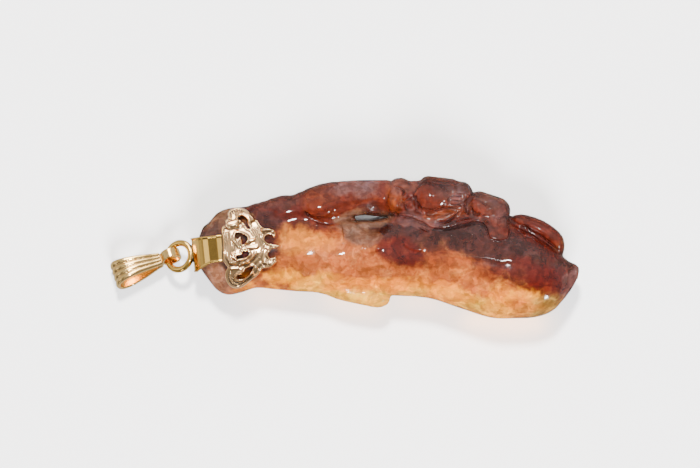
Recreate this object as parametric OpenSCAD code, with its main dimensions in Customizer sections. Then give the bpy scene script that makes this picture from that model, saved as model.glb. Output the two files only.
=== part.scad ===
// Carved jade pendant with a gold end cap and a fluted bail, lying on its flat back.
// X runs from the bail to the tip of the stone, Y across it and Z up. Millimetres.

/* [Stone] */
// Length from the inside of the strap's fold to the stone's tip
stone_length = 51.1; // [49:0.1:54]
// Thickness of the stone at its highest point on the crest
stone_thickness = 9.4; // [9:0.1:10.5]
// Diameter of the hole drilled for the hidden pin
pin_hole_d = 1.1; // [1.05:0.05:1.4]

/* [Cap] */
// Width of the strap where it folds round the end of the stone
strap_width = 4.6; // [4:0.1:5]
// Thickness of the strap
strap_t = 0.4; // [0.3:0.05:0.45]
// Thickness of the pierced plate in its field
plate_t = 0.45; // [0.35:0.05:0.6]
// Height of the plate's raised rim and scrolls over its field
relief_h = 0.25; // [0.1:0.05:0.35]
// Diameter of the hidden pin
pin_d = 0.9; // [0.7:0.05:0.95]

/* [Ring] */
// Outer diameter of the ring
ring_d = 4.46; // [4.2:0.02:4.6]
// Diameter of the ring's wire
ring_wire = 0.84; // [0.7:0.02:0.84]
// How far the ring leans down towards the bail, in degrees
ring_lean = 30; // [25:1:35]

/* [Bail] */
// Width of the bail at its fold
bail_width = 3.5; // [3:0.1:4]
// Width of the bail's hook
bail_hook_width = 1.3; // [1.1:0.05:1.3]
// Thickness of the bail's sheet
bail_t = 0.3; // [0.26:0.02:0.32]
// Height of the flutes on the bail's front
flute_h = 0.22; // [0.1:0.02:0.26]

/* [Hidden] */

jade = "chocolate";
gold = "gold";
far = 60;
middle = [0.18, 0.08, 0];    // brings the middle of the whole pendant over the origin

// Smooth curves

function spline(a, b, c, d, t) =
    0.5 * (2 * b + (c - a) * t + (2 * a - 5 * b + 4 * c - d) * t * t
           + (3 * b - a - 3 * c + d) * t * t * t);

// A closed curve through every point of a list, with a number of steps between neighbours.
function smooth_loop(points, steps) =
    let (n = len(points))
    [for (i = [0 : n - 1], k = [0 : steps - 1])
        spline(points[(i + n - 1) % n], points[i], points[(i + 1) % n], points[(i + 2) % n], k / steps)];

// An open curve through every point or table row of a list.
function smooth_line(points, steps) =
    let (n = len(points), at = function (i) points[max(0, min(n - 1, i))])
    [for (i = [0 : n - 2], k = [0 : steps - 1])
        spline(at(i - 1), at(i), at(i + 1), at(i + 2), k / steps),
     points[n - 1]];

// An open curve moved sideways, to its left if the distance is positive.
function beside(line, by) =
    let (n = len(line))
    [for (i = [0 : n - 1])
        let (along = line[min(n - 1, i + 1)] - line[max(0, i - 1)])
        line[i] + by * [-along.y, along.x] / norm(along)];

// Outline of a strip that follows a curve.
function strip_along(line, width) =
    let (n = len(line), left = beside(line, width / 2), right = beside(line, -width / 2))
    concat(right, [for (i = [n - 1 : -1 : 0]) left[i]]);

// Polyhedron through rings of points with the same count.
module skin(rings) {
    n = len(rings);
    m = len(rings[0]);
    points = [for (ring = rings, p = ring) p];
    sides = [for (i = [0 : n - 2], j = [0 : m - 1])
        let (a = i * m, b = (i + 1) * m, k = (j + 1) % m)
        each [[a + j, b + k, a + k], [a + j, b + j, b + k]]];
    ends = [[for (j = [0 : m - 1]) j], [for (j = [m - 1 : -1 : 0]) (n - 1) * m + j]];
    polyhedron(points, concat(sides, ends), convexity = 6);
}

// Stone

stone_x = -20.0;             // where the inside of the strap's fold lies
nominal_length = 51.1;
nominal_thickness = 9.4;
section_points = 36;
front_roundness = 2.1;       // exponent of the front half of a section: 2 is an ellipse
back_roundness = 3.6;

// Sections of the stone's main body: distance from the strap's fold, its lower and upper edge and its
// crest across, then the height of the edge, the back and the crest.
S_AT = 0; S_LOW = 1; S_HIGH = 2; S_CREST = 3; S_EDGE = 4; S_BACK = 5; S_FRONT = 6;
STONE = [
    [ 0.15, -0.8, -0.3, -0.6, 4.1,  3.8, 4.4],
    [ 0.5, -2.4,  1.0, -0.6, 4.1,  2.8, 5.2],
    [ 1.0, -3.3,  2.4, -0.5, 4.1,  2.0, 5.9],
    [ 1.8, -4.4,  3.4, -0.4, 4.1,  1.5, 6.5],
    [ 2.9, -5.7,  4.4, -0.4, 3.9,  1.3, 6.8],
    [ 4.3, -6.3,  5.0, -0.4, 3.8,  1.2, 7.1],
    [ 6.1, -6.0,  5.4, -0.3, 3.8,  1.2, 7.4],
    [ 8.1, -5.4,  5.6, -0.1, 3.8,  1.2, 7.6],
    [10.6, -5.6,  5.7,  0.1, 3.9,  0.5, 7.7],
    [13.9, -5.9,  5.7,  0.2, 3.8, -0.1, 7.9],
    [17.3, -6.0,  5.2,  0.2, 3.8, -0.3, 8.0],
    [20.6, -6.1,  4.0,  0.1, 3.8, -0.3, 8.0],
    [23.9, -6.4,  3.8,  0.0, 3.8, -0.3, 8.2],
    [27.3, -6.5,  4.6, -0.2, 3.8, -0.3, 8.5],
    [31.3, -6.8,  5.6, -0.5, 3.8, -0.3, 8.8],
    [35.3, -7.8,  5.6, -0.9, 3.8, -0.3, 9.1],
    [39.3, -9.1,  4.8, -1.2, 3.9, -0.3, 9.4],
    [42.6, -9.4,  3.2, -1.8, 4.0, -0.3, 9.4],
    [45.3, -9.3,  1.7, -2.4, 4.1, -0.1, 9.0],
    [47.3, -8.6,  0.3, -2.8, 4.2,  0.4, 8.3],
    [48.9, -7.1, -1.1, -3.0, 4.3,  1.4, 7.3],
    [50.2, -5.3, -2.1, -3.0, 4.4,  2.8, 6.1],
    [51.1, -3.4, -2.7, -3.0, 4.5,  4.0, 5.0]];

// Rounded forms carved on the body, each an ellipsoid: place, half sizes and turn about Z.
// A row with the same chain number as the one before it is joined to that one.
F_CHAIN = 0; F_AT = 1; F_HALF = 2; F_TURN = 3;
FORMS = [
    // bough along the top of the capped half, with its knot
    [1, [ 9.6, 4.3, 4.8], [1.8, 1.7, 2.2],   0],
    [1, [13.4, 5.2, 5.0], [2.2, 2.1, 2.3],   0],
    [1, [17.1, 5.8, 5.3], [2.4, 2.7, 2.9],   0],
    [1, [21.0, 6.7, 5.0], [2.2, 2.3, 2.2],   0],
    [1, [25.2, 6.6, 4.9], [2.2, 2.4, 2.3],   0],
    // curled tail end, haunch, back and shoulder of the crouching beast
    [2, [26.9, 6.8, 5.6], [1.6, 2.4, 2.6],  -8],
    [3, [30.4, 6.2, 6.2], [2.6, 2.6, 3.0],   0],
    [3, [33.6, 6.9, 5.4], [3.4, 2.4, 3.2],   0],
    [3, [35.6, 6.6, 5.6], [1.8, 2.4, 2.9],  -8],
    [4, [34.6, 5.2, 6.4], [2.2, 2.1, 2.5],   0],
    [5, [32.4, 3.7, 7.2], [0.9, 0.7, 1.2],  20],
    [5, [34.8, 4.5, 7.2], [0.9, 0.9, 1.3],  20],
    // its head, snout and forefoot
    [6, [38.0, 5.6, 5.5], [1.5, 1.9, 2.6], -20],
    [6, [40.2, 4.9, 5.6], [1.6, 1.8, 2.3], -20],
    [7, [40.3, 3.1, 6.9], [1.0, 0.9, 1.4],   0],
    [7, [40.3, 2.1, 7.2], [1.0, 0.9, 1.2],   0],
    // leaf along the upper edge near the tip
    [8, [42.2, 3.8, 4.7], [0.5, 0.4, 0.9],   0],
    [8, [43.6, 3.5, 4.6], [0.9, 0.9, 1.3],   0],
    [8, [45.4, 2.9, 4.5], [1.0, 1.1, 1.5],   0],
    [8, [46.9, 2.0, 4.4], [1.1, 1.2, 1.5],   0],
    [8, [48.1, 0.9, 4.4], [1.0, 1.1, 1.3],   0],
    [8, [48.6, -0.2, 4.4], [0.6, 0.7, 1.0],   0],
    // small leaf under the lower edge
    [9, [16.8, -5.6, 3.2], [0.6, 0.4, 0.8],  0],
    [9, [19.4, -6.0, 3.0], [1.0, 0.9, 1.2],  0],
    [9, [22.4, -6.4, 3.0], [1.0, 1.1, 1.3],  0],
    [9, [24.3, -7.0, 3.0], [1.1, 1.1, 1.2],  0],
    [9, [25.9, -6.3, 3.2], [0.9, 0.7, 1.0],  0]];

// Window pierced between the bough and the body: distance from the capped end, place across, radius.
WINDOW = [[21.65, 3.78, 0.62], [23.4, 3.8, 0.58], [25.5, 4.0, 0.25]];

function along(s) = stone_x + s * stone_length / nominal_length;
function up(z) = z * stone_thickness / nominal_thickness;

function section(row) =
    [for (k = [0 : section_points - 1])
        let (angle = 360 * k / section_points,
             front = sin(angle) >= 0,
             e = 2 / (front ? front_roundness : back_roundness),
             middle = front ? row[S_CREST] : (row[S_LOW] + row[S_HIGH]) / 2,
             reach = cos(angle) >= 0 ? row[S_HIGH] - middle : middle - row[S_LOW],
             rise = front ? row[S_FRONT] - row[S_EDGE] : row[S_EDGE] - row[S_BACK])
        [along(row[S_AT]),
         middle + reach * sign(cos(angle)) * pow(abs(cos(angle)), e),
         up(row[S_EDGE] + rise * sign(sin(angle)) * pow(abs(sin(angle)), e))]];

module body_of_stone() {
    skin([for (row = smooth_line(STONE, 3)) section(row)]);
}

module form(row) {
    translate([along(row[F_AT].x), row[F_AT].y, up(row[F_AT].z)])
        rotate(row[F_TURN])
            scale(row[F_HALF])
                sphere(r = 1, $fn = 18);
}

module carved_forms() {
    for (i = [0 : len(FORMS) - 1]) {
        before = max(0, i - 1);
        joined = FORMS[before][F_CHAIN] == FORMS[i][F_CHAIN];
        hull() {
            form(FORMS[i]);
            form(FORMS[joined ? before : i]);
        }
    }
}

module window() {
    for (i = [1 : len(WINDOW) - 1])
        hull()
            for (w = [WINDOW[i - 1], WINDOW[i]])
                translate([along(w[0]), w[1], -1])
                    cylinder(r = w[2], h = far, $fn = 16);
}

// Hollow cut down to the window from the front.
SCOOP_AT = [23.4, 3.1, 10.2];
SCOOP_HALF = [3.4, 1.9, 4.2];

module scoop() {
    translate([along(SCOOP_AT.x), SCOOP_AT.y, up(SCOOP_AT.z)])
        scale(SCOOP_HALF)
            sphere(r = 1, $fn = 28);
}

module flat_back() {
    translate([-far, -far, -far])
        cube([2 * far, 2 * far, far]);
}

module pin_hole() {
    on_cap()
        translate([pin_at, 0, -1])
            cylinder(d = pin_hole_d, h = far, $fn = 24);
}

module jade_carving() {
    color(jade)
        translate(middle)
            difference() {
                union() {
                    body_of_stone();
                    carved_forms();
                }
                window();
                scoop();
                pin_hole();
                flat_back();
            }
}

// Gold cap, in its own frame: x from the strap's outer end towards the tip, y across

cap_origin = [-20.39, -0.77, 0];
cap_turn = 6;
pin_at = 7.2;
plate_low_r = 7.6;           // radius of the plate's underside
plate_low_z = 7.85;          // height of the underside along its axis
plate_axis_y = -0.35;        // the axis lies this far across
tab_length = 8.7;
tab_z = 0.78;
strap_high = 2.05;           // the strap's upper edge, across
strap_neck = 3.6;            // its width where it lies on the stone
ring_roll = -14;
ring_reach = (ring_d - ring_wire) / 2;
ring_at = [0.1 - ring_d / 2 * cos(ring_lean), -0.22, 3.3];

// Middle line of the strap from the tab on the back, round the end and up to the plate.
STRAP = [
    [tab_length, tab_z], [6.0, tab_z], [3.6, tab_z + 0.02], [2.2, 0.92], [1.1, 1.5], [0.42, 2.6],
    [0.2, 4.1], [0.34, 5.3], [0.8, 6.25], [1.5, 6.85], [2.3, 7.12], [3.0, 7.4], [3.8, 7.68], [4.9, 7.72]];

// Edge of the plate, anticlockwise from the tip of the middle prong.
PLATE = [
    [11.8,  0.0], [11.0,  0.4], [10.2, 0.55], [ 9.7, 1.0], [ 9.9, 1.5], [10.9, 1.5], [11.3, 1.9],
    [10.9,  2.6], [10.2, 2.75], [ 9.5, 2.7], [ 9.0, 3.5], [ 8.3, 4.5], [ 7.2, 5.2], [ 6.0, 5.5],
    [ 4.9,  5.2], [ 4.5, 4.3], [ 4.2, 3.4], [ 3.9, 2.2], [ 4.1, 1.0], [ 4.1, -0.2], [ 4.3, -1.5],
    [ 4.6, -2.4], [ 4.3, -3.3], [ 4.5, -4.4], [ 5.2, -5.1], [ 6.4, -5.3], [ 7.6, -4.9], [ 8.6, -4.1],
    [ 9.4, -3.2], [10.5, -2.9], [11.0, -2.2], [10.8, -1.5], [ 9.9, -1.6], [ 9.6, -1.1], [10.3, -0.75],
    [11.1, -0.5]];

// Raised lines on the plate: the rims of its lobes, the ribs of its three prongs, the scrolls inside.
RELIEF = [
    [[9.3, 2.6], [8.7, 3.3], [8.0, 4.2], [7.0, 4.85], [6.0, 5.1], [5.2, 4.85], [4.85, 4.1], [4.55, 3.2],
     [4.25, 2.2], [4.45, 1.0], [4.45, -0.2], [4.65, -1.5], [4.9, -2.2]],
    [[4.75, -3.4], [4.85, -4.2], [5.4, -4.75], [6.4, -4.95], [7.4, -4.6], [8.3, -3.85], [9.2, -2.95]],
    [[8.3, 1.1], [9.2, 1.9], [9.9, 2.15], [10.9, 2.05]],
    [[8.2, 0.3], [9.6, 0.1], [11.3, 0.0]],
    [[8.4, -0.9], [9.0, -1.9], [9.7, -2.3], [10.6, -2.2]],
    [[5.6, -0.5], [5.7, -1.3], [6.5, -1.75], [7.6, -1.65], [8.3, -1.2]],
    [[6.0, 3.9], [6.7, 3.3], [7.3, 2.3], [8.0, 1.6]]];
relief_width = 0.3;

// Pierced holes of the plate, each anticlockwise.
HOLES = [
    [[6.5, 4.3], [7.1, 3.9], [7.4, 3.3], [7.8, 2.7], [7.6, 3.6], [7.1, 4.35]],
    [[5.9, 1.9], [6.3, 1.6], [6.5, 2.0], [6.9, 1.5], [6.9, 0.9], [7.5, 1.4], [7.4, 1.9], [6.7, 2.5],
     [6.1, 2.45]],
    [[6.2, -1.1], [6.9, -1.3], [7.5, -1.1], [8.0, -0.6], [7.5, -0.3], [7.2, 0.0], [6.9, -0.7]],
    [[6.4, -3.8], [6.9, -4.1], [7.6, -3.6], [8.3, -2.6], [7.6, -2.8], [6.9, -3.2]]];

module on_cap() {
    translate(cap_origin)
        rotate(cap_turn)
            children();
}

// Shell of a cylinder lying along x, between two heights above the plate's underside.
module plate_shell(from, to) {
    translate([0, plate_axis_y, plate_low_z - plate_low_r])
        rotate([0, 90, 0])
            difference() {
                cylinder(r = plate_low_r + to, h = far, $fn = 128);
                translate([0, 0, -1])
                    cylinder(r = plate_low_r + from, h = far + 2, $fn = 128);
            }
}

module prism(loop, low, high) {
    translate([0, 0, low])
        linear_extrude(height = high - low)
            polygon(loop);
}

module plate() {
    difference() {
        intersection() {
            plate_shell(0, plate_t);
            prism(smooth_loop(PLATE, 2), 3, 12);
        }
        for (hole = HOLES)
            prism(smooth_loop(hole, 3), 2, 13);
    }
    for (line = RELIEF)
        intersection() {
            plate_shell(plate_t / 2, plate_t + relief_h);
            prism(strip_along(smooth_line(line, 3), relief_width), 4, 11);
        }
}

module strap() {
    low = strap_high - strap_width;
    neck = strap_high - strap_neck;
    intersection() {
        translate([0, far / 2, 0])
            rotate([90, 0, 0])
                linear_extrude(height = far)
                    polygon(strip_along(smooth_line(STRAP, 3), strap_t));
        linear_extrude(height = far)
            polygon([[-1, low], [0.5, low], [1.1, low * 0.8 + neck * 0.2], [1.5, low * 0.3 + neck * 0.7],
                     [1.9, neck], [tab_length + 1, neck], [tab_length + 1, strap_high], [-1, strap_high]]);
    }
}

module ring() {
    translate(ring_at)
        rotate([ring_roll, -ring_lean, 0])
            rotate_extrude($fn = 64)
                translate([ring_reach, 0])
                    circle(d = ring_wire, $fn = 32);
}

module gold_cap() {
    pin_clearance = 0.1;
    color(gold)
        translate(middle)
            on_cap()
                difference() {
                    union() {
                        plate();
                        strap();
                        ring();
                    }
                    translate([pin_at, 0, -1])
                        cylinder(d = pin_d + pin_clearance, h = 3, $fn = 32);
                }
}

// Hidden pin: its head sits under the tab, and its shank passes through the stone.
module cap_pin() {
    head_d = 1.6;
    head_low = 0.12;
    head_high = tab_z - strap_t / 2 - 0.03;
    shank_high = plate_low_z - 0.1;
    color(gold)
        translate(middle)
            on_cap()
                translate([pin_at, 0, head_low]) {
                    cylinder(d = head_d, h = head_high - head_low, $fn = 32);
                    cylinder(d = pin_d, h = shank_high - head_low, $fn = 32);
                }
}

// Bail, in its own frame: x from the fold to the hook, y across, z from the back sheet to the front

bail_turn = 20;
bail_roll = -24;
bail_length = 9.25;
eye_r = 1.05;                // inner radius of the hook's eye
eye_at = bail_length - eye_r - bail_t;
waist_at = eye_at - eye_r - bail_t;
wire_at = eye_at - 0.42;     // where the ring's wire lies in the eye
wire_low = 0.1;              // how far it lies under the eye's middle
foot_at = 1.6;               // where the bail stands on the surface
floor_gap = 0.03;
waist_width = 1.75;
flutes = 4;
flute_share = 0.8;           // share of its strip that a flute takes

sheet_high = 1.3;            // the front sheet's greatest height

// Middle line of the front sheet, from the fold to the waist: along the bail, and its height.
SHEET = [
    [0, 0], [0.16, 0.62], [0.62, 1.08], [1.5, sheet_high], [2.8, 1.2], [4.2, 0.86], [5.6, 0.4],
    [6.6, 0.16]];

// Both sheets as one loop, moved outwards from their middle line.
function sheet_loop(by) =
    let (line = smooth_line([for (p = SHEET) [p.x + bail_t / 2, p.y]], 4), n = len(line),
         moved = beside(line, by),
         front = concat([[line[0].x - by, 0]], [for (i = [1 : n - 1]) moved[i]]))
    concat(front, [for (i = [n - 1 : -1 : 1]) [front[i].x, -front[i].y]]);

// Half width of the bail at a distance from its fold.
function half_width(x) = (bail_width + (waist_width - bail_width) * x / waist_at) / 2;

module across(loop) {
    translate([0, far / 2, 0])
        rotate([90, 0, 0])
            linear_extrude(height = far)
                polygon(loop);
}

// Strip of the bail's plan between two shares of its width, from -1 to 1.
module strip(from, to) {
    translate([0, 0, -far / 2])
        linear_extrude(height = far)
            polygon([[-1, from * half_width(0)], [waist_at, from * half_width(waist_at)],
                     [waist_at, to * half_width(waist_at)], [-1, to * half_width(0)]]);
}

module bail_body() {
    difference() {
        union() {
            intersection() {
                across(sheet_loop(bail_t / 2));
                strip(-1, 1);
            }
            for (i = [0 : flutes - 1]) {
                middle = (2 * i + 1) / flutes - 1;
                intersection() {
                    across(sheet_loop(bail_t / 2 + flute_h));
                    strip(middle - flute_share / flutes, middle + flute_share / flutes);
                }
            }
        }
        across(sheet_loop(-bail_t / 2));
    }
}

module bail_hook() {
    translate([eye_at, bail_hook_width / 2, 0])
        rotate([90, 0, 0])
            difference() {
                cylinder(r = eye_r + bail_t, h = bail_hook_width, $fn = 64);
                translate([0, 0, -1])
                    cylinder(r = eye_r, h = bail_hook_width + 2, $fn = 64);
            }
    // where the two sheets are soldered together at the waist
    translate([waist_at - 0.4, -bail_hook_width / 2, -bail_t])
        cube([0.55, bail_hook_width, 2 * bail_t]);
}

module bail() {
    wire = ring_at - ring_reach * [cos(ring_lean), 0, sin(ring_lean)];
    // how far the lowest corner of the foot lies under the bail's middle line
    foot = half_width(foot_at) * sin(-bail_roll)
        + (sheet_high + bail_t / 2 + flute_h - wire_low) * cos(bail_roll);
    pitch = asin((wire.z - foot - floor_gap) / (wire_at - foot_at));
    color(gold)
        translate(middle)
            on_cap()
                translate(wire)
                    rotate(bail_turn - cap_turn)
                        rotate([0, -pitch, 0])
                            rotate([bail_roll, 0, 0])
                                translate([-wire_at, 0, wire_low]) {
                                    bail_body();
                                    bail_hook();
                                }
}

jade_carving();
gold_cap();
cap_pin();
bail();
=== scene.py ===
# %% [markdown]
# # A carved jade pendant with a gold cap and bail
#
# The pendant is one pebble of russet and honey jade, carved on its front with a crouching beast on a
# bough, lying on its flat back. A pierced gold cap holds one end, and a fluted bail hangs on its ring.
# The CAD model gives every place and size here. This lesson carves finer copies of its solids out of
# distance fields, and gives them stone and metal to look at.

import math

import bmesh
import bpy
import numpy as np
import openvdb
from mathutils import Matrix


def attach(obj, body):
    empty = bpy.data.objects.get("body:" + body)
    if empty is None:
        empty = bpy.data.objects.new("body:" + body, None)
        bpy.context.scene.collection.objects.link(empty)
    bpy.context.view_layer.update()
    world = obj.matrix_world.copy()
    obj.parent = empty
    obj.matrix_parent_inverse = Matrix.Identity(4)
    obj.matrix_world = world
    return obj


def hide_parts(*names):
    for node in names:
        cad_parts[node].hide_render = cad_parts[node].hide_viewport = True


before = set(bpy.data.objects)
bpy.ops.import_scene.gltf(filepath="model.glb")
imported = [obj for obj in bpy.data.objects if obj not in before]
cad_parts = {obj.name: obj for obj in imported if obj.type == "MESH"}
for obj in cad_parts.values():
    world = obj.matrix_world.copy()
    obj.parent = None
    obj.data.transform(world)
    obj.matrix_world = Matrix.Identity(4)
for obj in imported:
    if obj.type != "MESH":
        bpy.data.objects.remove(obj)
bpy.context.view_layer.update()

# %% [markdown]
# ## Carving with distances
#
# A real carver starts from a rough pebble and takes away or leaves material. Modelling tools that push
# vertices make that hard, so each piece here is a field: a block of sample points, each holding its
# distance to the surface, below zero inside. Joining two forms is then a minimum, cutting is a maximum,
# and a soft minimum leaves the small fillet that polishing leaves. Engraving is a height added to the
# distance. All lengths in this part are millimetres.

# %% Curves and soft joins
MM = 0.001
FAR = 9.0


def smooth(points, steps=5, closed=False):
    """A Catmull-Rom curve through every point, or table row, of a list."""
    p = np.array(points, dtype=float)
    if closed:
        p = np.vstack([p[-1:], p, p[:2]])
    else:
        p = np.vstack([p[:1], p, p[-1:]])
    t = (np.arange(steps) / steps)[:, None]
    pieces = []
    for a, b, c, d in zip(p[:-3], p[1:-2], p[2:-1], p[3:]):
        bend = (2 * a - 5 * b + 4 * c - d) * t * t + (3 * b - a - 3 * c + d) * t ** 3
        pieces.append(0.5 * (2 * b + (c - a) * t + bend))
    if not closed:
        pieces.append(p[-2:-1])
    return np.vstack(pieces)


def ease(value):
    """A smooth rise from 0 to 1."""
    v = np.clip(value, 0, 1)
    return v * v * (3 - 2 * v)


def join(a, b, fillet):
    """The union of two fields, with a fillet where they meet."""
    blend = np.clip(fillet - np.abs(a - b), 0, None)
    return np.minimum(a, b) - blend * blend / (4 * fillet)


def trim(a, b, round_off):
    """What two fields share, with its edge rounded off."""
    return -join(-a, -b, round_off)


def turned(x, y, degrees):
    """Coordinates seen from a frame that is turned about the third axis."""
    c, s = math.cos(math.radians(degrees)), math.sin(math.radians(degrees))
    return c * x + s * y, c * y - s * x


# %% The block of samples
class Block:
    """A box of sample points, with the distance to a piece's surface at each."""

    def __init__(self, low, high, step):
        self.low, self.step = np.array(low, dtype=float), step
        counts = np.ceil((np.array(high) - self.low) / step).astype(int) + 1
        self.ticks = [(self.low[i] + step * np.arange(n)).astype(np.float32)
                      for i, n in enumerate(counts)]
        self.field = np.full(counts, FAR, np.float32)

    def window(self, low, high):
        """The slices between two corners, and the samples' x, y and z there."""
        cut = tuple(slice(*np.searchsorted(t, (a, b))) for t, a, b in zip(self.ticks, low, high))
        x, y, z = (t[c] for t, c in zip(self.ticks, cut))
        return cut, x[:, None, None], y[None, :, None], z[None, None, :]

    def everywhere(self):
        return self.window([-99] * 3, [99] * 3)[1:]

    def limb(self, rows, fillet, cut_away=False):
        """Joins or cuts a form that runs through ellipsoids: x, y, z, half sizes and turn."""
        rows = np.array([list(r) + [0] * (7 - len(r)) for r in rows], dtype=float)
        if len(rows) > 2:
            rows = smooth(rows, 3)
        reach = rows[:, 3:6].max() + fillet + 3 * self.step
        cut, x, y, z = self.window(rows[:, :3].min(axis=0) - reach, rows[:, :3].max(axis=0) + reach)
        form = FAR
        for a, b in list(zip(rows, rows[1:])) or [(rows[0], rows[0])]:
            run = b[:3] - a[:3]
            share = ((x - a[0]) * run[0] + (y - a[1]) * run[1] + (z - a[2]) * run[2])
            share = np.clip(share / max((run * run).sum(), 1e-9), 0, 1)
            across, up = turned(x - a[0] - share * run[0], y - a[1] - share * run[1], a[6])
            rise = z - a[2] - share * run[2]
            half = [a[i] + share * (b[i] - a[i]) for i in (3, 4, 5)]
            near = np.sqrt((across / half[0]) ** 2 + (up / half[1]) ** 2 + (rise / half[2]) ** 2)
            steep = np.sqrt((across / half[0] ** 2) ** 2 + (up / half[1] ** 2) ** 2
                            + (rise / half[2] ** 2) ** 2)
            form = np.minimum(form, near * (near - 1) / np.maximum(steep, 1e-6))
        if cut_away:
            self.field[cut] = trim(self.field[cut], -form, fillet)
        else:
            self.field[cut] = join(self.field[cut], form, fillet)

    def sample(self, points):
        """Distances at any points, blended from the eight samples round each."""
        place = (points - self.low) / self.step
        cell = np.clip(place.astype(int), 0, np.array(self.field.shape) - 2)
        share = place - cell
        total = np.zeros(len(points))
        for corner in np.ndindex(2, 2, 2):
            weight = np.prod(np.where(corner, share, 1 - share), axis=1)
            total += weight * self.field[tuple((cell + corner).T)]
        return total

    def slope(self, points):
        """The field's direction of steepest rise, which is the surface's outward normal."""
        apart = self.step * np.eye(3)
        return np.stack([self.sample(points + e) - self.sample(points - e) for e in apart],
                        axis=1) / (2 * self.step)


# %% Relief drawn in plan
class Relief:
    """Heights over a block's x and y lines, added to the front of its surface."""

    def __init__(self, block):
        self.block = block
        self.height = np.zeros(block.field.shape[:2], np.float32)

    def along(self, path, reach):
        """Near a path: its slices, the distance, the distance to its left, the length from its ends."""
        p = smooth(path)
        low, high = p.min(axis=0) - reach, p.max(axis=0) + reach
        cut, x, y, _ = self.block.window([*low, -99], [*high, 99])
        cut, x, y = cut[:2], x[:, :, 0], y[:, :, 0]
        lengths = np.linalg.norm(np.diff(p, axis=0), axis=1)
        best = np.full(self.height[cut].shape, np.inf)
        side, walked, start = best.copy(), best.copy(), 0.0
        for a, b, length in zip(p[:-1], p[1:], lengths):
            u = (b - a) / length
            t = np.clip((x - a[0]) * u[0] + (y - a[1]) * u[1], 0, length)
            away = np.hypot(x - a[0] - t * u[0], y - a[1] - t * u[1])
            left = u[0] * (y - a[1]) - u[1] * (x - a[0])
            nearer = away < best
            side = np.where(nearer, np.where(left >= 0, away, -away), side)
            walked = np.where(nearer, start + t, walked)
            best = np.minimum(away, best)
            start += length
        return cut, best, side, np.minimum(walked, start - walked), walked

    def line(self, path, width, height, power=2.0, taper=0.8):
        """A raised line, or an engraved one where its height is negative."""
        cut, away, _, end, _ = self.along(path, 3 * width)
        self.height[cut] += height * np.exp(-(away / width) ** power) * ease(end / taper)

    def step(self, path, height, fade, edge=0.15, taper=1.0):
        """An edge that stands up on the path's left and fades away from it."""
        cut, _, side, end, _ = self.along(path, 3 * fade)
        rise = ease(side / edge + 0.5) * np.exp(-np.maximum(side, 0) / fade)
        self.height[cut] += height * rise * ease(end / taper)

    def spot(self, x, y, half_x, half_y, height, turn=0, power=2.0):
        """A soft boss, or a dish where its height is negative."""
        far = 2.2 * max(half_x, half_y)
        cut, gx, gy, _ = self.block.window([x - far, y - far, -99], [x + far, y + far, 99])
        u, v = turned(gx[:, :, 0] - x, gy[:, :, 0] - y, turn)
        self.height[cut[:2]] += height * np.exp(-((u / half_x) ** 2 + (v / half_y) ** 2) ** (power / 2))

    def hollows(self, points, reach):
        """How far each point's place lies below the relief's average within reach."""
        across, up = (np.fft.fftfreq(n, self.block.step) for n in self.height.shape)
        blur = np.exp(-2 * (math.pi * reach) ** 2 * (across[:, None] ** 2 + up[None, :] ** 2))
        depth = np.fft.ifft2(np.fft.fft2(self.height) * blur).real - self.height
        cell = np.round((points - self.block.low) / self.block.step).astype(int)
        i, j = (np.clip(cell[:, k], 0, n - 1) for k, n in enumerate(depth.shape))
        return depth[i, j]


# %% From a field to a mesh
GROOVE_DEPTH = 0.2         # a groove this deep counts as quite hollow
WELD = 0.001               # vertices nearer than this are one


def tally(text, mesh):
    mesh.calc_loop_triangles()
    print(text, len(mesh.vertices), "vertices,", len(mesh.loop_triangles), "triangles")


def span(text, relief):
    deep, high = -relief.height.min(), relief.height.max()
    print(text, "up to", round(float(deep), 2), "mm deep and", round(float(high), 2), "mm high")


def placed(mesh):
    """Where a mesh's vertices lie, a row for each."""
    flat = np.empty(3 * len(mesh.vertices))
    mesh.vertices.foreach_get("co", flat)
    return flat.reshape(-1, 3)


def weld(mesh, points):
    """Moves a mesh's vertices to their points, joins those that fall together, gives back what is left."""
    mesh.vertices.foreach_set("co", points.astype(np.float32).ravel())
    work = bmesh.new()
    work.from_mesh(mesh)
    bmesh.ops.remove_doubles(work, verts=work.verts, dist=WELD)
    work.to_mesh(mesh)
    work.free()
    return placed(mesh)


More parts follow.
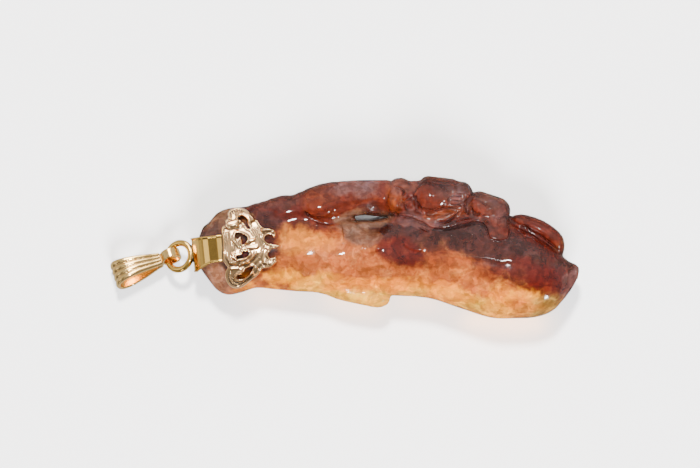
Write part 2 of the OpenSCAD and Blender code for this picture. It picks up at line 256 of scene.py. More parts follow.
def cast(block, name, reach, share=1.0, place=None, relief=None):
    """Makes a mesh object of a block's surface, and notes how hollow and how thin it is within reach.

    share is the part of its faces that is kept.
    """
    grid = openvdb.FloatGrid(background=3.0)
    grid.copyFromArray(np.clip(block.field / block.step, -3, 3))
    points, quads = grid.convertToQuads(isovalue=0.0)
    rough = bpy.data.meshes.new(name + "_rough")
    rough.from_pydata(points, [], quads)
    body = bpy.data.objects.new(name, rough)
    bpy.context.collection.objects.link(body)
    if share < 1:
        thin = body.modifiers.new("fewer faces", "DECIMATE")
        thin.ratio = share
    seen = body.evaluated_get(bpy.context.evaluated_depsgraph_get())
    mesh = bpy.data.meshes.new_from_object(seen)
    mesh.name = name
    body.modifiers.clear()
    body.data = mesh
    bpy.data.meshes.remove(rough)
    points = block.low + block.step * placed(mesh)
    for _ in range(3):
        slope = block.slope(points)
        steep = np.maximum((slope * slope).sum(axis=1), 0.2)
        move = slope * (block.sample(points) / steep)[:, None]
        points -= np.clip(move, -block.step, block.step)
    points = weld(mesh, points)
    normals = block.slope(points)
    normals /= np.maximum(np.linalg.norm(normals, axis=1), 1e-9)[:, None]
    notes = {"hollow": 1 - block.sample(points + reach * normals) / reach,
             "thin": 1 + block.sample(points - reach * normals) / reach}
    if relief:
        faces_front = np.clip(2 * normals[:, 2], 0, 1)
        notes["hollow"] += faces_front * relief.hollows(points, reach / 2) / GROOVE_DEPTH
    if place is not None:
        turn = np.array(place.to_3x3())
        points = points @ turn.T + np.array(place.translation)
        normals = normals @ turn.T
    mesh.vertices.foreach_set("co", (points * MM).astype(np.float32).ravel())
    mesh.polygons.foreach_set("use_smooth", [True] * len(mesh.polygons))
    mesh.update()
    mesh.normals_split_custom_set_from_vertices(normals)
    for note, values in notes.items():
        mesh.attributes.new(note, "FLOAT", "POINT").data.foreach_set("value", np.clip(values, 0, 1))
    tally(name, mesh)
    return body


# %% [markdown]
# ## The pebble
#
# The stone is long and lightly arched, flat behind and rounded in front, and thickest near its free
# end. Its body is a run of cross sections along X, the same ones that the CAD model lofts: below the
# edge a boxy curve, above it a rounder one whose crest may lie off the middle. Written as a field, a
# section is just how far a point lies out along a superellipse.

# %% Sections of the stone
STONE_X = -19.82             # where the inside of the strap's fold lies
STONE_Y = 0.08
CAP_END_ROUNDNESS = 2.1
FRONT_ROUNDNESS = 2.6
CROWN = 0.6                  # share of a plain ellipse in the front, which rounds its crest
BACK_ROUNDNESS = 3.6
STONE_STEP = 0.125

# Distance from the strap's fold, lower and upper edge and crest across, height of edge, back and crest.
STONE = np.array([
    [0.15, -0.9, 0.2, -0.5, 4.1, 3.8, 4.4],
    [0.5, -2.4, 1.5, -0.5, 4.1, 2.8, 5.2],
    [1.0, -3.3, 2.7, -0.4, 4.1, 2.0, 5.9],
    [1.8, -4.4, 3.4, -0.4, 4.1, 1.5, 6.5],
    [2.9, -5.7, 4.6, -0.4, 3.9, 1.3, 6.8],
    [4.3, -6.3, 5.2, -0.4, 3.8, 1.2, 7.1],
    [6.1, -6.0, 5.4, -0.3, 3.8, 1.2, 7.4],
    [8.1, -5.4, 5.6, -0.1, 3.8, 1.2, 7.6],
    [10.6, -5.6, 5.7, 0.1, 3.9, 0.5, 7.65],
    [13.9, -5.9, 5.7, 0.2, 3.8, -0.1, 7.76],
    [17.3, -6.0, 5.2, 0.2, 3.8, -0.3, 7.9],
    [20.6, -6.1, 4.0, 0.1, 3.8, -0.3, 8.07],
    [23.9, -6.4, 3.8, 0.0, 3.8, -0.3, 8.28],
    [27.3, -6.5, 4.6, -0.2, 3.8, -0.3, 8.54],
    [31.3, -6.8, 5.6, -0.3, 3.8, -0.3, 8.84],
    [35.3, -8.1, 5.6, -0.9, 3.8, -0.3, 9.13],
    [39.3, -9.35, 4.8, -1.2, 3.9, -0.3, 9.36],
    [42.6, -9.45, 3.2, -1.8, 4.0, -0.3, 9.4],
    [45.3, -9.3, 1.7, -2.4, 4.1, -0.1, 9.0],
    [47.3, -8.6, 0.3, -2.8, 4.2, 0.4, 8.3],
    [48.9, -7.3, -1.1, -3.0, 4.3, 1.4, 7.3],
    [50.2, -5.6, -2.2, -3.0, 4.4, 2.8, 6.1],
    [51.0, -4.1, -2.7, -3.2, 4.5, 3.8, 5.2]])


def stone_body(block):
    """The field of the pebble before any carving."""
    x, y, z = block.everywhere()
    rows = smooth(STONE, steps=12)
    s = x[:, 0, 0] - STONE_X
    low, high, crest, edge, back, front = (np.interp(s, rows[:, 0], rows[:, i])[:, None, None]
                                           .astype(np.float32) for i in range(1, 7))
    y = y - STONE_Y
    over, under = y > crest, z < edge
    reach = np.where(over, high - crest, crest - low)
    power = np.interp(s, [10.0, 15.0], [CAP_END_ROUNDNESS, FRONT_ROUNDNESS])[:, None, None].astype(np.float32)
    out_y = np.abs(y - crest) / reach
    r_front = ((1 - CROWN) * out_y ** power + CROWN * out_y ** 2
               + (np.abs(z - edge) / (front - edge)) ** power) ** (1 / power)
    middle = (low + high) / 2
    r_back = ((np.abs(y - middle) / (high - middle)) ** BACK_ROUNDNESS
              + (np.abs(z - edge) / (edge - back)) ** BACK_ROUNDNESS) ** (1 / BACK_ROUNDNESS)
    out = np.where(under, r_back, r_front).astype(np.float32) - 1
    steep = np.sqrt(sum(g * g for g in np.gradient(out, block.step)))
    beyond = np.maximum(rows[0, 0] - s, s - rows[-1, 0])[:, None, None].astype(np.float32)
    return np.maximum(out / np.maximum(steep, 0.05), beyond)


stone = Block([-20.6, -10.0, -0.5], [32.0, 10.2, 10.2], STONE_STEP)
stone.field = stone_body(stone)
print("pebble field", stone.field.shape)

# %% [markdown]
# ## The forms in high relief
#
# A bough grows along the upper edge and swells into a knot. On it crouches the beast: a curled tail
# end, a round back, the shoulder with its long foreleg, then the head and the forefoot that reaches down
# over the stone. A leaf lies along the edge near the tip, and a small leaf shows under the lower edge.
# Each is a limb, a run of ellipsoids, joined to the pebble with a fillet.

# %% Bough, beast and leaves
BOUGH = [[-11.4, 4.75, 4.9, 1.3, 1.2, 1.9], [-8.3, 4.9, 5.0, 1.7, 2.1, 2.35],
         [-6.4, 5.2, 5.0, 2.0, 1.95, 2.4], [-2.7, 5.9, 5.3, 2.4, 2.7, 2.7], [1.2, 6.7, 5.0, 2.2, 2.35, 2.6],
         [5.4, 6.7, 4.8, 2.2, 2.4, 2.2]]
UNDER_BEAST = [[8.2, 4.3, 3.9, 1.8, 1.7, 3.9], [13.0, 3.8, 4.0, 2.2, 2.2, 4.0],
               [20.0, 3.6, 3.8, 2.2, 2.2, 3.6]]
BETWEEN = [[7.6, 6.6, 4.7, 1.7, 2.4, 2.9], [10.0, 6.5, 4.9, 1.9, 2.5, 3.0]]
UNDER_LEAF = [[22.6, 3.0, 3.8, 1.0, 1.2, 2.4], [26.5, 1.6, 3.8, 1.1, 1.4, 2.5],
              [28.2, 0.2, 3.6, 0.9, 1.0, 2.2]]
KNOT = [[-2.6, 5.4, 6.1, 1.9, 1.8, 2.0]]
KNOT_TOP = [[-3.5, 5.55, 7.75, 1.9, 1.35, 0.7, -4]]
TAIL_CURL = [
    [[6.75, 6.4, 5.8, 1.25, 1.85, 2.5, -6]],
    [[7.5, 8.15, 5.6, 1.45, 1.2, 2.1, -10]],
    [[8.1, 6.8, 5.9, 1.1, 1.0, 2.1]],
    [[7.7, 5.5, 6.0, 0.9, 0.85, 2.0]],
    [[9.0, 5.8, 6.0, 0.9, 0.9, 1.9]]]
BACK = [[11.3, 6.85, 6.0, 1.9, 2.75, 3.2], [13.9, 6.5, 5.6, 2.6, 2.75, 3.1]]
BACK_TOP = [[11.6, 6.95, 8.55, 2.2, 1.7, 0.8, -4]]
RUMP = [[15.6, 6.85, 5.5, 1.55, 1.95, 2.9, -12]]
SHOULDER = [[14.6, 5.4, 6.1, 2.2, 1.8, 2.5]]
FORELEG = [[12.5, 3.9, 7.0, 1.1, 0.8, 1.3, 18], [14.8, 4.6, 7.1, 0.9, 0.75, 1.3, 18]]
PAW = [[14.9, 6.3, 6.9, 1.1, 0.95, 1.65, -8]]
HEAD = [[17.8, 5.75, 5.6, 1.5, 1.9, 2.6, -20], [20.3, 5.0, 5.5, 1.85, 1.8, 2.4, -22]]
FOREFOOT = [[[19.95, 3.6, 6.6, 0.8, 0.9, 1.5], [20.0, 2.05, 7.0, 0.72, 0.75, 1.25]],
            [[21.05, 3.7, 6.5, 0.85, 0.9, 1.5], [21.05, 2.1, 6.8, 0.75, 0.8, 1.25]]]
EDGE_LEAF = [[22.3, 3.7, 4.8, 0.5, 0.45, 1.3], [23.6, 3.45, 4.8, 1.0, 1.1, 1.9],
             [25.9, 2.6, 4.8, 1.2, 1.25, 2.1], [27.8, 1.25, 4.7, 1.2, 1.25, 2.0],
             [28.4, 0.3, 4.5, 1.0, 1.05, 1.8], [28.5, -0.5, 4.4, 0.75, 0.8, 1.4]]
LOW_LEAF = [[-3.3, -5.0, 4.2, 0.8, 0.8, 1.5], [-0.7, -5.5, 4.3, 1.3, 1.35, 2.0],
            [2.6, -6.2, 4.3, 1.4, 1.4, 1.9], [4.4, -6.6, 4.1, 1.2, 1.35, 1.7],
            [5.3, -6.6, 4.1, 0.85, 1.1, 1.4]]
TIP = [[29.2, -2.8, 4.4, 1.2, 1.05, 2.0], [30.4, -2.95, 4.5, 0.88, 0.9, 1.3]]
BEHIND_WINDOW = [[-0.3, 5.0, 1.9, 1.3, 0.9, 2.4], [2.7, 5.5, 1.9, 1.6, 0.9, 2.4],
                 [6.4, 5.4, 1.9, 1.5, 1.3, 2.4]]

stone.limb(BOUGH, 0.9)
stone.limb(UNDER_BEAST, 0.6)
stone.limb(BETWEEN, 0.6)
stone.limb(BEHIND_WINDOW, 0.5)
stone.limb(UNDER_LEAF, 0.6)
stone.limb(KNOT, 0.35)
stone.limb(KNOT_TOP, 0.5)
for part in TAIL_CURL:
    stone.limb(part, 0.4)
for part in (BACK, BACK_TOP, RUMP, SHOULDER, FORELEG, PAW):
    stone.limb(part, 0.35)
for part in (HEAD, *FOREFOOT, EDGE_LEAF):
    stone.limb(part, 0.3)
stone.limb(LOW_LEAF, 0.5)
stone.limb(TIP, 0.4)
highest = stone.low[2] + stone.step * np.flatnonzero((stone.field < 0).any(axis=(0, 1)))[-1]
print("high relief reaches", round(float(highest), 2), "mm")

# %% Window and hollows
WINDOW = [[1.83, 3.86, 0.62], [3.58, 3.88, 0.58], [5.7, 4.08, 0.25]]      # x, y, radius


def open_window(block):
    """The slot pierced right through under the bough, narrower towards the back."""
    for (xa, ya, ra), (xb, yb, rb) in zip(WINDOW, WINDOW[1:]):
        cut, x, y, z = block.window([xa - 2, ya - 2, -9], [xb + 2, yb + 2, 99])
        share = ((x - xa) * (xb - xa) + (y - ya) * (yb - ya)) / ((xb - xa) ** 2 + (yb - ya) ** 2)
        share = np.clip(share, 0, 1)
        away = np.hypot(x - xa - share * (xb - xa), y - ya - share * (yb - ya))
        narrow = 1 - 0.7 * ease((6.7 - z) / 1.8)
        block.field[cut] = trim(block.field[cut], (ra + share * (rb - ra)) * narrow - away, 0.25)


HOLLOWS = [
    [[3.58, 3.18, 10.2, 3.4, 1.9, 4.2]],                                         # down to the window
    [[0.9, 2.3, 9.6, 1.25, 1.5, 2.6, 8], [3.0, 2.45, 9.8, 1.4, 1.1, 2.4, 8]],     # the clear floor beside it
    [[4.4, 5.2, 8.9, 1.5, 1.0, 2.6, -20]]]                                       # between bough and tail
for hollow in HOLLOWS:
    stone.limb(hollow, 0.7, cut_away=True)
open_window(stone)
print("window and", len(HOLLOWS), "hollows cut")

# %% [markdown]
# ## Chiselled edges, grooves and swellings
#
# The rest of the carving is shallow, so it is drawn in plan as relief: a step is an edge cut along one
# side of a line, a line is a ridge or a groove, and a spot is a boss or a dish. A polished hand carving
# is never quite fair either, so slow ripples go over the whole front. They break up its highlights.

# %% Relief on the front
cut = Relief(stone)

# The seat: the stone is cut down below the beast, and the cut ends in a thin undercut line.
SEAT = [[6.9, 4.45], [8.6, 4.2], [10.3, 3.5], [11.7, 2.75], [13.0, 2.6], [15.0, 3.0], [17.4, 3.55],
        [18.6, 3.2], [19.1, 2.2], [19.4, 1.35], [20.6, 1.1], [21.7, 1.4], [21.9, 3.0]]
cut.step(SEAT, 0.2, 0.9, 0.3)
cut.step(SEAT[::-1], -0.26, 1.1, 0.3)
cut.line([[9.6, 2.9], [11.0, 2.35], [11.6, 1.95]], 0.16, -0.2)
cut.line([[12.9, 2.35], [15.0, 2.75], [17.2, 3.3]], 0.09, -0.2)
cut.line([[14.6, 3.55], [16.0, 3.95], [17.2, 4.0]], 0.09, -0.14)
cut.line([[14.4, 3.2], [16.0, 3.65], [17.6, 3.75]], 0.1, 0.12)

# The knot's rim and the valley between the bough and the body.
cut.line([[-5.2, 5.2], [-4.6, 4.2], [-3.4, 3.5], [-2.1, 3.2], [-0.9, 3.2]], 0.22, -0.12)
cut.line([[-3.4, 7.3], [-2.5, 7.45], [-1.5, 7.15], [-1.1, 6.5]], 0.22, 0.08)
cut.step([[-9.6, 3.3], [-7.0, 3.3], [-4.5, 3.2]], 0.08, 1.4, 1.4)

# A soft ridge along the bough, which draws its highlight out.
cut.line([[-9.6, 4.75], [-8.5, 4.85], [-7.2, 4.85], [-6.0, 4.95]], 0.8, 0.05)

# The bank left of the clear hollow.
cut.step([[-0.25, 0.6], [-0.2, 1.5], [-0.3, 2.6], [-0.45, 3.6]], 0.22, 0.7, 0.12, 0.6)

# Curled edges on the body's crest.
cut.line([[0.2, -0.75], [0.8, -0.85], [1.5, -0.85], [1.9, -0.3], [2.8, 0.3]], 0.4, 0.11, taper=0.5)
cut.line([[3.3, 0.6], [3.6, -0.05], [4.5, 0.0], [5.0, 0.3]], 0.45, 0.12, taper=0.5)
cut.step([[7.6, 1.0], [8.0, 0.4], [8.8, -0.1], [9.8, -0.35], [10.9, -0.3]], 0.14, 0.8, 0.4)
cut.line([[13.4, -0.7], [14.6, -0.65], [16.0, -0.95], [17.8, -1.15], [19.4, -1.25], [20.8, -1.65],
          [21.8, -1.5], [23.0, -1.95]], 0.45, 0.08)
cut.spot(-5.1, -0.95, 0.8, 0.6, 0.06)
cut.spot(-0.9, -0.9, 0.9, 0.6, 0.08)

# The lower leaf's long upper edge, its veins, and the notch before its tip.
cut.step([[-3.4, -5.3], [-1.6, -4.6], [0.4, -4.05], [3.0, -3.95], [6.4, -3.95], [10.4, -4.3]][::-1],
         -0.16, 1.6, 0.35)
cut.line([[-2.6, -5.1], [0.2, -4.15], [3.2, -3.98], [6.6, -4.0], [10.4, -4.3]], 0.2, 0.07)
cut.line([[3.6, -3.15], [5.2, -3.1], [7.2, -3.15]], 0.12, 0.08)
for drop in (0.35, 0.75, 1.15):
    cut.line([[-2.3, -5.5 - 0.55 * drop], [-0.4, -5.1 - drop], [1.5, -5.05 - drop], [3.0, -5.3 - drop]], 0.1,
             -0.07)
cut.line([[3.0, -7.9], [3.3, -6.9], [3.9, -6.1], [5.0, -5.7]], 0.2, -0.08)
cut.line([[0.2, -4.5], [2.2, -4.55], [4.6, -4.6]], 0.09, -0.07)
cut.line([[0.4, -5.0], [2.4, -5.0], [4.0, -5.1]], 0.09, -0.06)

# The edge leaf lies lower than the body, which laps over it with a crisp edge.
LAP = [[21.8, 3.75], [23.1, 3.2], [24.6, 2.45], [26.0, 1.6], [26.9, 0.95], [28.0, 0.1], [28.95, -0.95]]
cut.step(LAP, -0.06, 0.6, 0.25, 0.7)
cut.line([[23.4, 3.2], [24.0, 2.85], [24.7, 2.4]], 0.16, -0.12)

# A bevelled rim round the free end.
cut.step([[31.0, -2.6], [29.9, -3.1], [29.5, -4.6], [28.7, -6.3], [27.6, -7.4]], -0.2, 1.3, 0.4)
span("front", cut)

# %% Relief on the beast
# Mane in curved locks over the back, four toes, and the leaf-shaped foreleg.
for inner, lift in ((0.0, 0.16), (0.55, 0.15), (1.1, 0.13)):
    cut.line([[10.4 + inner, 8.75 - 0.5 * inner], [11.9 + 0.6 * inner, 8.5 - 0.55 * inner],
              [13.6 + 0.3 * inner, 8.3 - 0.6 * inner], [15.4, 8.5 - 0.75 * inner]], 0.13, -lift)
cut.line([[12.2, 8.95], [13.8, 8.75], [15.6, 8.55]], 0.1, -0.12)
cut.step([[13.6, 7.6], [14.4, 7.5], [15.4, 7.3], [16.4, 7.1], [17.1, 7.1]], 0.28, 0.9, 0.2)
cut.line([[16.9, 7.0], [16.4, 6.2], [16.2, 5.2], [16.6, 4.3]], 0.2, -0.25)
for y in (5.78, 6.3, 6.88):
    cut.line([[14.0, y], [14.8, y + 0.03], [15.7, y - 0.06]], 0.11, -0.24, taper=0.3)
cut.line([[13.9, 5.4], [13.85, 6.2], [14.1, 7.1]], 0.14, -0.2)
cut.line([[11.8, 4.75], [13.2, 5.25], [14.6, 5.35], [15.6, 5.3]], 0.13, -0.28)
cut.line([[12.1, 3.45], [13.6, 3.5], [14.7, 4.3], [15.5, 5.15]], 0.13, -0.3)
cut.line([[12.6, 4.1], [13.8, 4.55], [15.0, 5.0]], 0.12, -0.1)
cut.line([[10.0, 5.3], [10.5, 4.75], [10.9, 4.25], [11.8, 4.1]], 0.16, 0.16)
cut.line([[10.9, 4.25], [10.8, 3.8], [10.5, 3.5]], 0.13, 0.1)
cut.line([[9.5, 4.6], [9.7, 5.6], [9.5, 6.6], [9.8, 7.6]], 0.22, -0.15)
cut.line([[6.3, 8.2], [7.2, 8.0], [7.9, 7.5], [7.5, 6.6]], 0.14, -0.22)
cut.line([[7.4, 6.5], [7.9, 6.2], [8.6, 6.5], [9.3, 6.3]], 0.13, -0.22)
cut.line([[8.2, 6.2], [8.15, 5.5], [8.4, 4.8]], 0.12, -0.2)
cut.spot(9.1, 7.15, 0.35, 0.25, 0.16)
cut.spot(6.7, 5.4, 0.22, 0.4, 0.12, 15)
# Scrolls on the cheek, the brow, and toes on the forefoot.
cut.line([[16.95, 5.6], [17.1, 4.9], [17.6, 4.5], [18.3, 4.6]], 0.12, -0.2)
cut.line([[17.45, 5.6], [17.55, 5.1], [17.95, 4.9]], 0.11, -0.18)
cut.line([[17.0, 6.6], [18.0, 6.3], [18.9, 5.6], [19.0, 4.8]], 0.16, -0.14)
cut.spot(18.7, 5.9, 0.5, 0.3, -0.14, -15)
cut.spot(18.0, 4.2, 0.28, 0.25, 0.25)
cut.spot(18.75, 3.25, 0.35, 0.22, 0.22, -40)
cut.line([[19.4, 4.1], [20.4, 3.95], [21.7, 4.3]], 0.2, -0.1)
cut.spot(20.5, 2.8, 0.3, 0.3, 0.12)
cut.spot(21.2, 1.95, 0.22, 0.4, 0.16)
cut.line([[20.45, 1.1], [20.5, 1.8], [20.45, 2.6]], 0.14, -0.12)
span("front and beast", cut)

# %% Ripples, and the back
FRONT_FROM, FRONT_TO = 1.2, 2.6     # heights between which the relief comes in
PLAIN_END, FREE_FROM = -11.5, 2.5   # where the ripples begin beside the cap, and over what length
# Height, wavelength and seed of the ripples: over the whole front, and two finer ones over the beast.
SLOW, FINE, FINER = (0.02, 7.0, 4), (0.03, 1.3, 21), (0.012, 0.7, 22)
# The lower edge of the beast's rougher stone: x and y.
BEAST_EDGE = [[5, 4.6], [9, 4.0], [12, 2.9], [18, 3.5], [20, 1.4], [22.5, 3.6]]
DRILLED = (-13.05, 0.06, 0.55)      # x, y and radius of the hole for the pin


def ripple(x, y, z, height, wave, seed):
    """A slow uneven field up to about its height, made of a few crossed sine waves."""
    rng = np.random.default_rng(seed)
    total = 0
    for _ in range(7):
        way = rng.normal(size=3)
        way *= rng.uniform(0.7, 1.5) * 2 * math.pi / wave / np.linalg.norm(way)
        total = total + np.sin(way[0] * x + way[1] * y + way[2] * z + rng.uniform(0, 6.28))
    return height * (total / 3.5).astype(np.float32)


def finish_stone(block):
    x, y, z = block.everywhere()
    front = ease((z - FRONT_FROM) / (FRONT_TO - FRONT_FROM))
    free = ease((x - PLAIN_END) / FREE_FROM)
    block.field -= cut.height[:, :, None] * front
    block.field -= front * free * ripple(x, y, z, *SLOW)
    beast = ease((x - 5.0) / 1.0) * ease((22.5 - x) / 1.0)
    low = np.interp(x[:, 0, 0], *np.transpose(BEAST_EDGE))[:, None, None]
    beast = beast * ease((y - low) / 0.8) * front
    block.field -= beast * (ripple(x, y, z, *FINE) + ripple(x, y, z, *FINER))
    block.field = np.maximum(block.field, -z)
    hole_x, hole_y, radius = DRILLED
    block.field = np.maximum(block.field, radius - np.hypot(x - hole_x, y - hole_y))


finish_stone(stone)
jade = cast(stone, "jade_stone", 0.7, share=0.42, relief=cut)
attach(jade, "root")
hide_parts("jade_carving")

# %% [markdown]
# ## The gold cap
#
# A jeweller's cap like this is cast or stamped, pierced with a saw, and soldered to a strap that wraps
# the end of the stone. A ring is soldered at the fold. It is one field too, in the cap's own frame: x
# runs from the fold towards the tip of the stone. The plate is a thin shell of a cylinder cut to a plan
# outline. Its scrolls, rims and prongs are lines of relief, lobes with one steep side catch the light, and
# short ribs fan out near the rims.

# %% The cap's frame and measures
CAP_AT = (-20.21, -0.69, 0.0)
CAP_TURN = 6.0
CAP_STEP = 0.062
PLATE_R, PLATE_Z, PLATE_Y, PLATE_T = 7.6, 7.85, -0.35, 0.45
STRAP_HIGH, STRAP_LOW, NECK_LOW, STRAP_T = 2.05, -2.55, -1.55, 0.4
RING_D, RING_WIRE, RING_LEAN, RING_ROLL = 4.46, 0.84, 30.0, -14.0
RING_REACH = (RING_D - RING_WIRE) / 2
RING_AT = (0.1 - RING_D / 2 * math.cos(math.radians(RING_LEAN)), -0.22, 3.3)
PIN_AT, PIN_HOLE_R = 7.2, 0.5
LIP_INSET, LIP_WIDTH, LIP_HEIGHT = 0.14, 0.12, 0.1     # the strap's raised edges

STRAP_BACK = [[8.7, 0.78], [6.0, 0.78], [3.6, 0.8], [2.2, 0.92], [1.1, 1.5], [0.42, 2.6], [0.2, 4.1],
              [0.34, 5.1]]
STRAP_FRONT = [[0.75, 5.9], [1.15, 6.4], [1.5, 6.66], [1.72, 6.9], [2.35, 7.22], [3.5, 7.55], [4.9, 7.68]]
# Plan outline of the plate and its openings, in the pendant's own millimetres.
PLATE = [
    [-8.4, 0.2], [-8.55, 0.45], [-9.2, 0.55], [-10.0, 0.7], [-10.45, 1.0], [-10.5, 1.4], [-10.15, 1.7],
    [-9.7, 1.65], [-9.3, 1.4], [-9.08, 1.65], [-9.05, 2.1], [-9.3, 2.55], [-9.8, 2.75], [-10.6, 2.8],
    [-11.1, 3.1], [-11.4, 3.6], [-11.9, 4.05], [-12.35, 4.6], [-12.9, 5.05], [-13.6, 5.35], [-14.4, 5.42],
    [-15.1, 5.15], [-15.5, 4.65], [-15.5, 3.95], [-15.85, 3.65], [-15.75, 3.1], [-16.15, 2.9], [-16.3, 2.3],
    [-16.1, 1.2], [-16.05, 0.0], [-16.05, -1.5], [-15.75, -2.2], [-15.5, -2.6], [-15.8, -3.1], [-15.8, -3.8],
    [-15.6, -4.5], [-15.2, -5.05], [-14.5, -5.35], [-13.7, -5.25], [-12.9, -4.75], [-12.1, -4.1],
    [-11.3, -3.5], [-10.85, -2.75], [-10.3, -2.65], [-9.6, -2.5], [-9.1, -2.05], [-8.9, -1.5],
    [-9.15, -1.15], [-9.7, -1.3], [-10.05, -1.0], [-9.95, -0.55], [-9.6, -0.2], [-9.0, -0.05]]
HOLES = [
    [[-14.1, 3.95], [-13.65, 4.22], [-13.2, 4.05], [-12.88, 3.65], [-12.75, 3.15], [-12.5, 2.6],
     [-12.85, 2.7], [-13.1, 3.1], [-13.35, 3.4], [-13.75, 3.72]],
    [[-14.35, 1.95], [-13.9, 2.0], [-13.35, 1.75], [-12.88, 1.4], [-13.02, 1.0], [-13.2, 0.65], [-13.45, 0.5],
     [-13.6, 0.75], [-13.6, 1.2], [-13.85, 1.6], [-14.05, 1.3], [-14.3, 1.25], [-14.4, 1.6]],
    [[-13.3, -0.2], [-12.95, -0.4], [-12.62, -0.72], [-12.95, -1.02], [-13.5, -1.25], [-14.1, -1.33],
     [-14.25, -1.1], [-13.85, -1.0], [-13.5, -0.8], [-13.45, -0.45]],
    [[-12.1, -2.5], [-12.35, -3.05], [-12.8, -3.6], [-13.4, -3.95], [-14.1, -4.05], [-14.1, -3.75],
     [-13.6, -3.5], [-13.2, -3.1], [-13.0, -2.75], [-12.6, -2.6]]]


def on_cap(rows):
    """Places in the pendant's plan, in the cap's own frame."""
    across, up = (np.array(rows, dtype=float) - CAP_AT[:2]).T
    return np.stack(turned(across, up, CAP_TURN), axis=1)


def curve_distance(u, v, curve):
    """Distance in a plane to an open curve."""
    best = np.full(np.broadcast(u, v).shape, np.inf)
    for (ax, ay), (bx, by) in zip(curve[:-1], curve[1:]):
        dx, dy = bx - ax, by - ay
        share = np.clip(((u - ax) * dx + (v - ay) * dy) / (dx * dx + dy * dy), 0, 1)
        best = np.minimum(best, np.hypot(u - ax - share * dx, v - ay - share * dy))
    return best.astype(np.float32)


def loop_distance(u, v, loop):
    """Distance in a plane to a closed loop, below zero inside it."""
    closed = np.vstack([loop, loop[:1]])
    away = curve_distance(u, v, closed)
    inside = np.zeros(away.shape, bool)
    for (ax, ay), (bx, by) in zip(closed[:-1], closed[1:]):
        if ay != by:
            inside = inside ^ (((ay > v) != (by > v)) & (u < (bx - ax) * (v - ay) / (by - ay) + ax))
    return np.where(inside, -away, away)


# %% Scrolls, rims and prongs in relief
cap = Block([-4.4, -5.8, 0.3], [12.2, 6.4, 8.9], CAP_STEP)
gilt = Relief(cap)
plan_x, plan_y = (t[:, :, 0] for t in cap.everywhere()[:2])
outline = loop_distance(plan_x, plan_y, smooth(on_cap(PLATE), 3, closed=True))
openings = [loop_distance(plan_x, plan_y, smooth(on_cap(hole), 3, closed=True)) for hole in HOLES]


def along_edge(distance, inset, width, height):
    """A ridge that keeps one distance from an edge."""
    gilt.height += height * np.exp(-((distance - inset) / width) ** 2)


def gadroons(centre, inner, outer, count, height, start, end):
    """Short ribs that fan out from a centre, between two radii and two angles."""
    (x, y), = on_cap([centre])
    out = np.hypot(plan_x - x, plan_y - y)
    angle = np.degrees(np.arctan2(plan_y - y, plan_x - x)) % 360
    band = ease((out - inner) / 0.15) * ease((outer - out) / 0.15)
    part = ease((angle - start) / 8) * ease((end - angle) / 8)
    gilt.height += height * band * part * np.cos(np.radians(angle) * count)


along_edge(outline, -0.17, 0.13, 0.16)
for opening in openings:
    along_edge(opening, 0.17, 0.14, 0.14)
gadroons((-13.9, 2.9), 1.75, 2.35, 44, 0.05, 40, 190)
gadroons((-13.9, -3.5), 1.1, 1.55, 40, 0.06, 170, 345)
# Ridges of the scrollwork: path, width, height.
SCROLLS = [
    ([[-15.7, 2.5], [-15.3, 3.0], [-14.6, 3.25], [-13.9, 3.35]], 0.42, 0.26),
    ([[-14.4, 4.15], [-13.8, 4.6], [-13.1, 4.45], [-12.5, 4.0], [-12.1, 3.4]], 0.34, 0.24),
    ([[-15.6, 2.3], [-15.45, 1.2], [-15.5, 0.0], [-15.45, -1.2], [-15.1, -1.9], [-14.2, -2.05]], 0.22, 0.2),
    ([[-15.15, 4.5], [-15.2, 3.9], [-14.9, 3.8]], 0.2, 0.16),
    ([[-14.75, 1.9], [-14.8, 1.2], [-14.6, 0.85], [-14.1, 0.3], [-13.8, -0.15]], 0.14, 0.13),
    ([[-13.1, 0.45], [-12.8, 0.8], [-12.3, 1.05], [-11.7, 1.15]], 0.24, 0.22),
    ([[-13.2, 0.15], [-12.4, 0.05], [-11.7, 0.15], [-11.2, 0.35]], 0.2, 0.18),
    ([[-12.5, 2.4], [-12.1, 1.9], [-11.7, 1.3]], 0.14, 0.12),
    ([[-12.2, 2.9], [-11.6, 2.1], [-11.2, 1.2], [-10.85, 0.3], [-10.9, -0.6], [-11.3, -1.4]], 0.13, 0.14),
    ([[-11.8, 3.0], [-11.3, 2.2], [-10.95, 1.5]], 0.12, 0.1),
    ([[-14.35, -0.55], [-14.7, -0.85], [-14.65, -1.35], [-14.1, -1.6], [-13.4, -1.5], [-12.75, -1.15],
      [-12.4, -0.65]], 0.17, 0.2),
    ([[-13.8, -2.1], [-13.1, -1.9], [-12.5, -1.55], [-12.0, -1.0], [-11.6, -0.4]], 0.17, 0.2),
    ([[-13.0, -3.0], [-13.6, -3.25], [-14.2, -3.5], [-14.45, -3.95], [-14.1, -4.3], [-13.3, -4.15],
      [-12.6, -3.65], [-12.1, -3.0]], 0.2, 0.2),
    ([[-15.0, -3.1], [-15.15, -3.8], [-15.0, -4.4], [-14.5, -4.8], [-13.8, -4.75]], 0.11, 0.12),
    ([[-11.9, -2.9], [-11.4, -2.3], [-10.9, -1.8]], 0.15, 0.14),
    ([[-11.2, 2.35], [-10.5, 2.35], [-9.7, 2.3], [-9.3, 1.9]], 0.3, 0.32),
    ([[-10.7, 0.1], [-10.0, 0.2], [-9.2, 0.25], [-8.5, 0.2]], 0.2, 0.14),
    ([[-10.9, -1.7], [-10.3, -1.95], [-9.7, -2.0], [-9.2, -1.6]], 0.34, 0.3)]
for path, width, height in SCROLLS:
    gilt.line(on_cap(path), width, height, 2.3, 0.35)
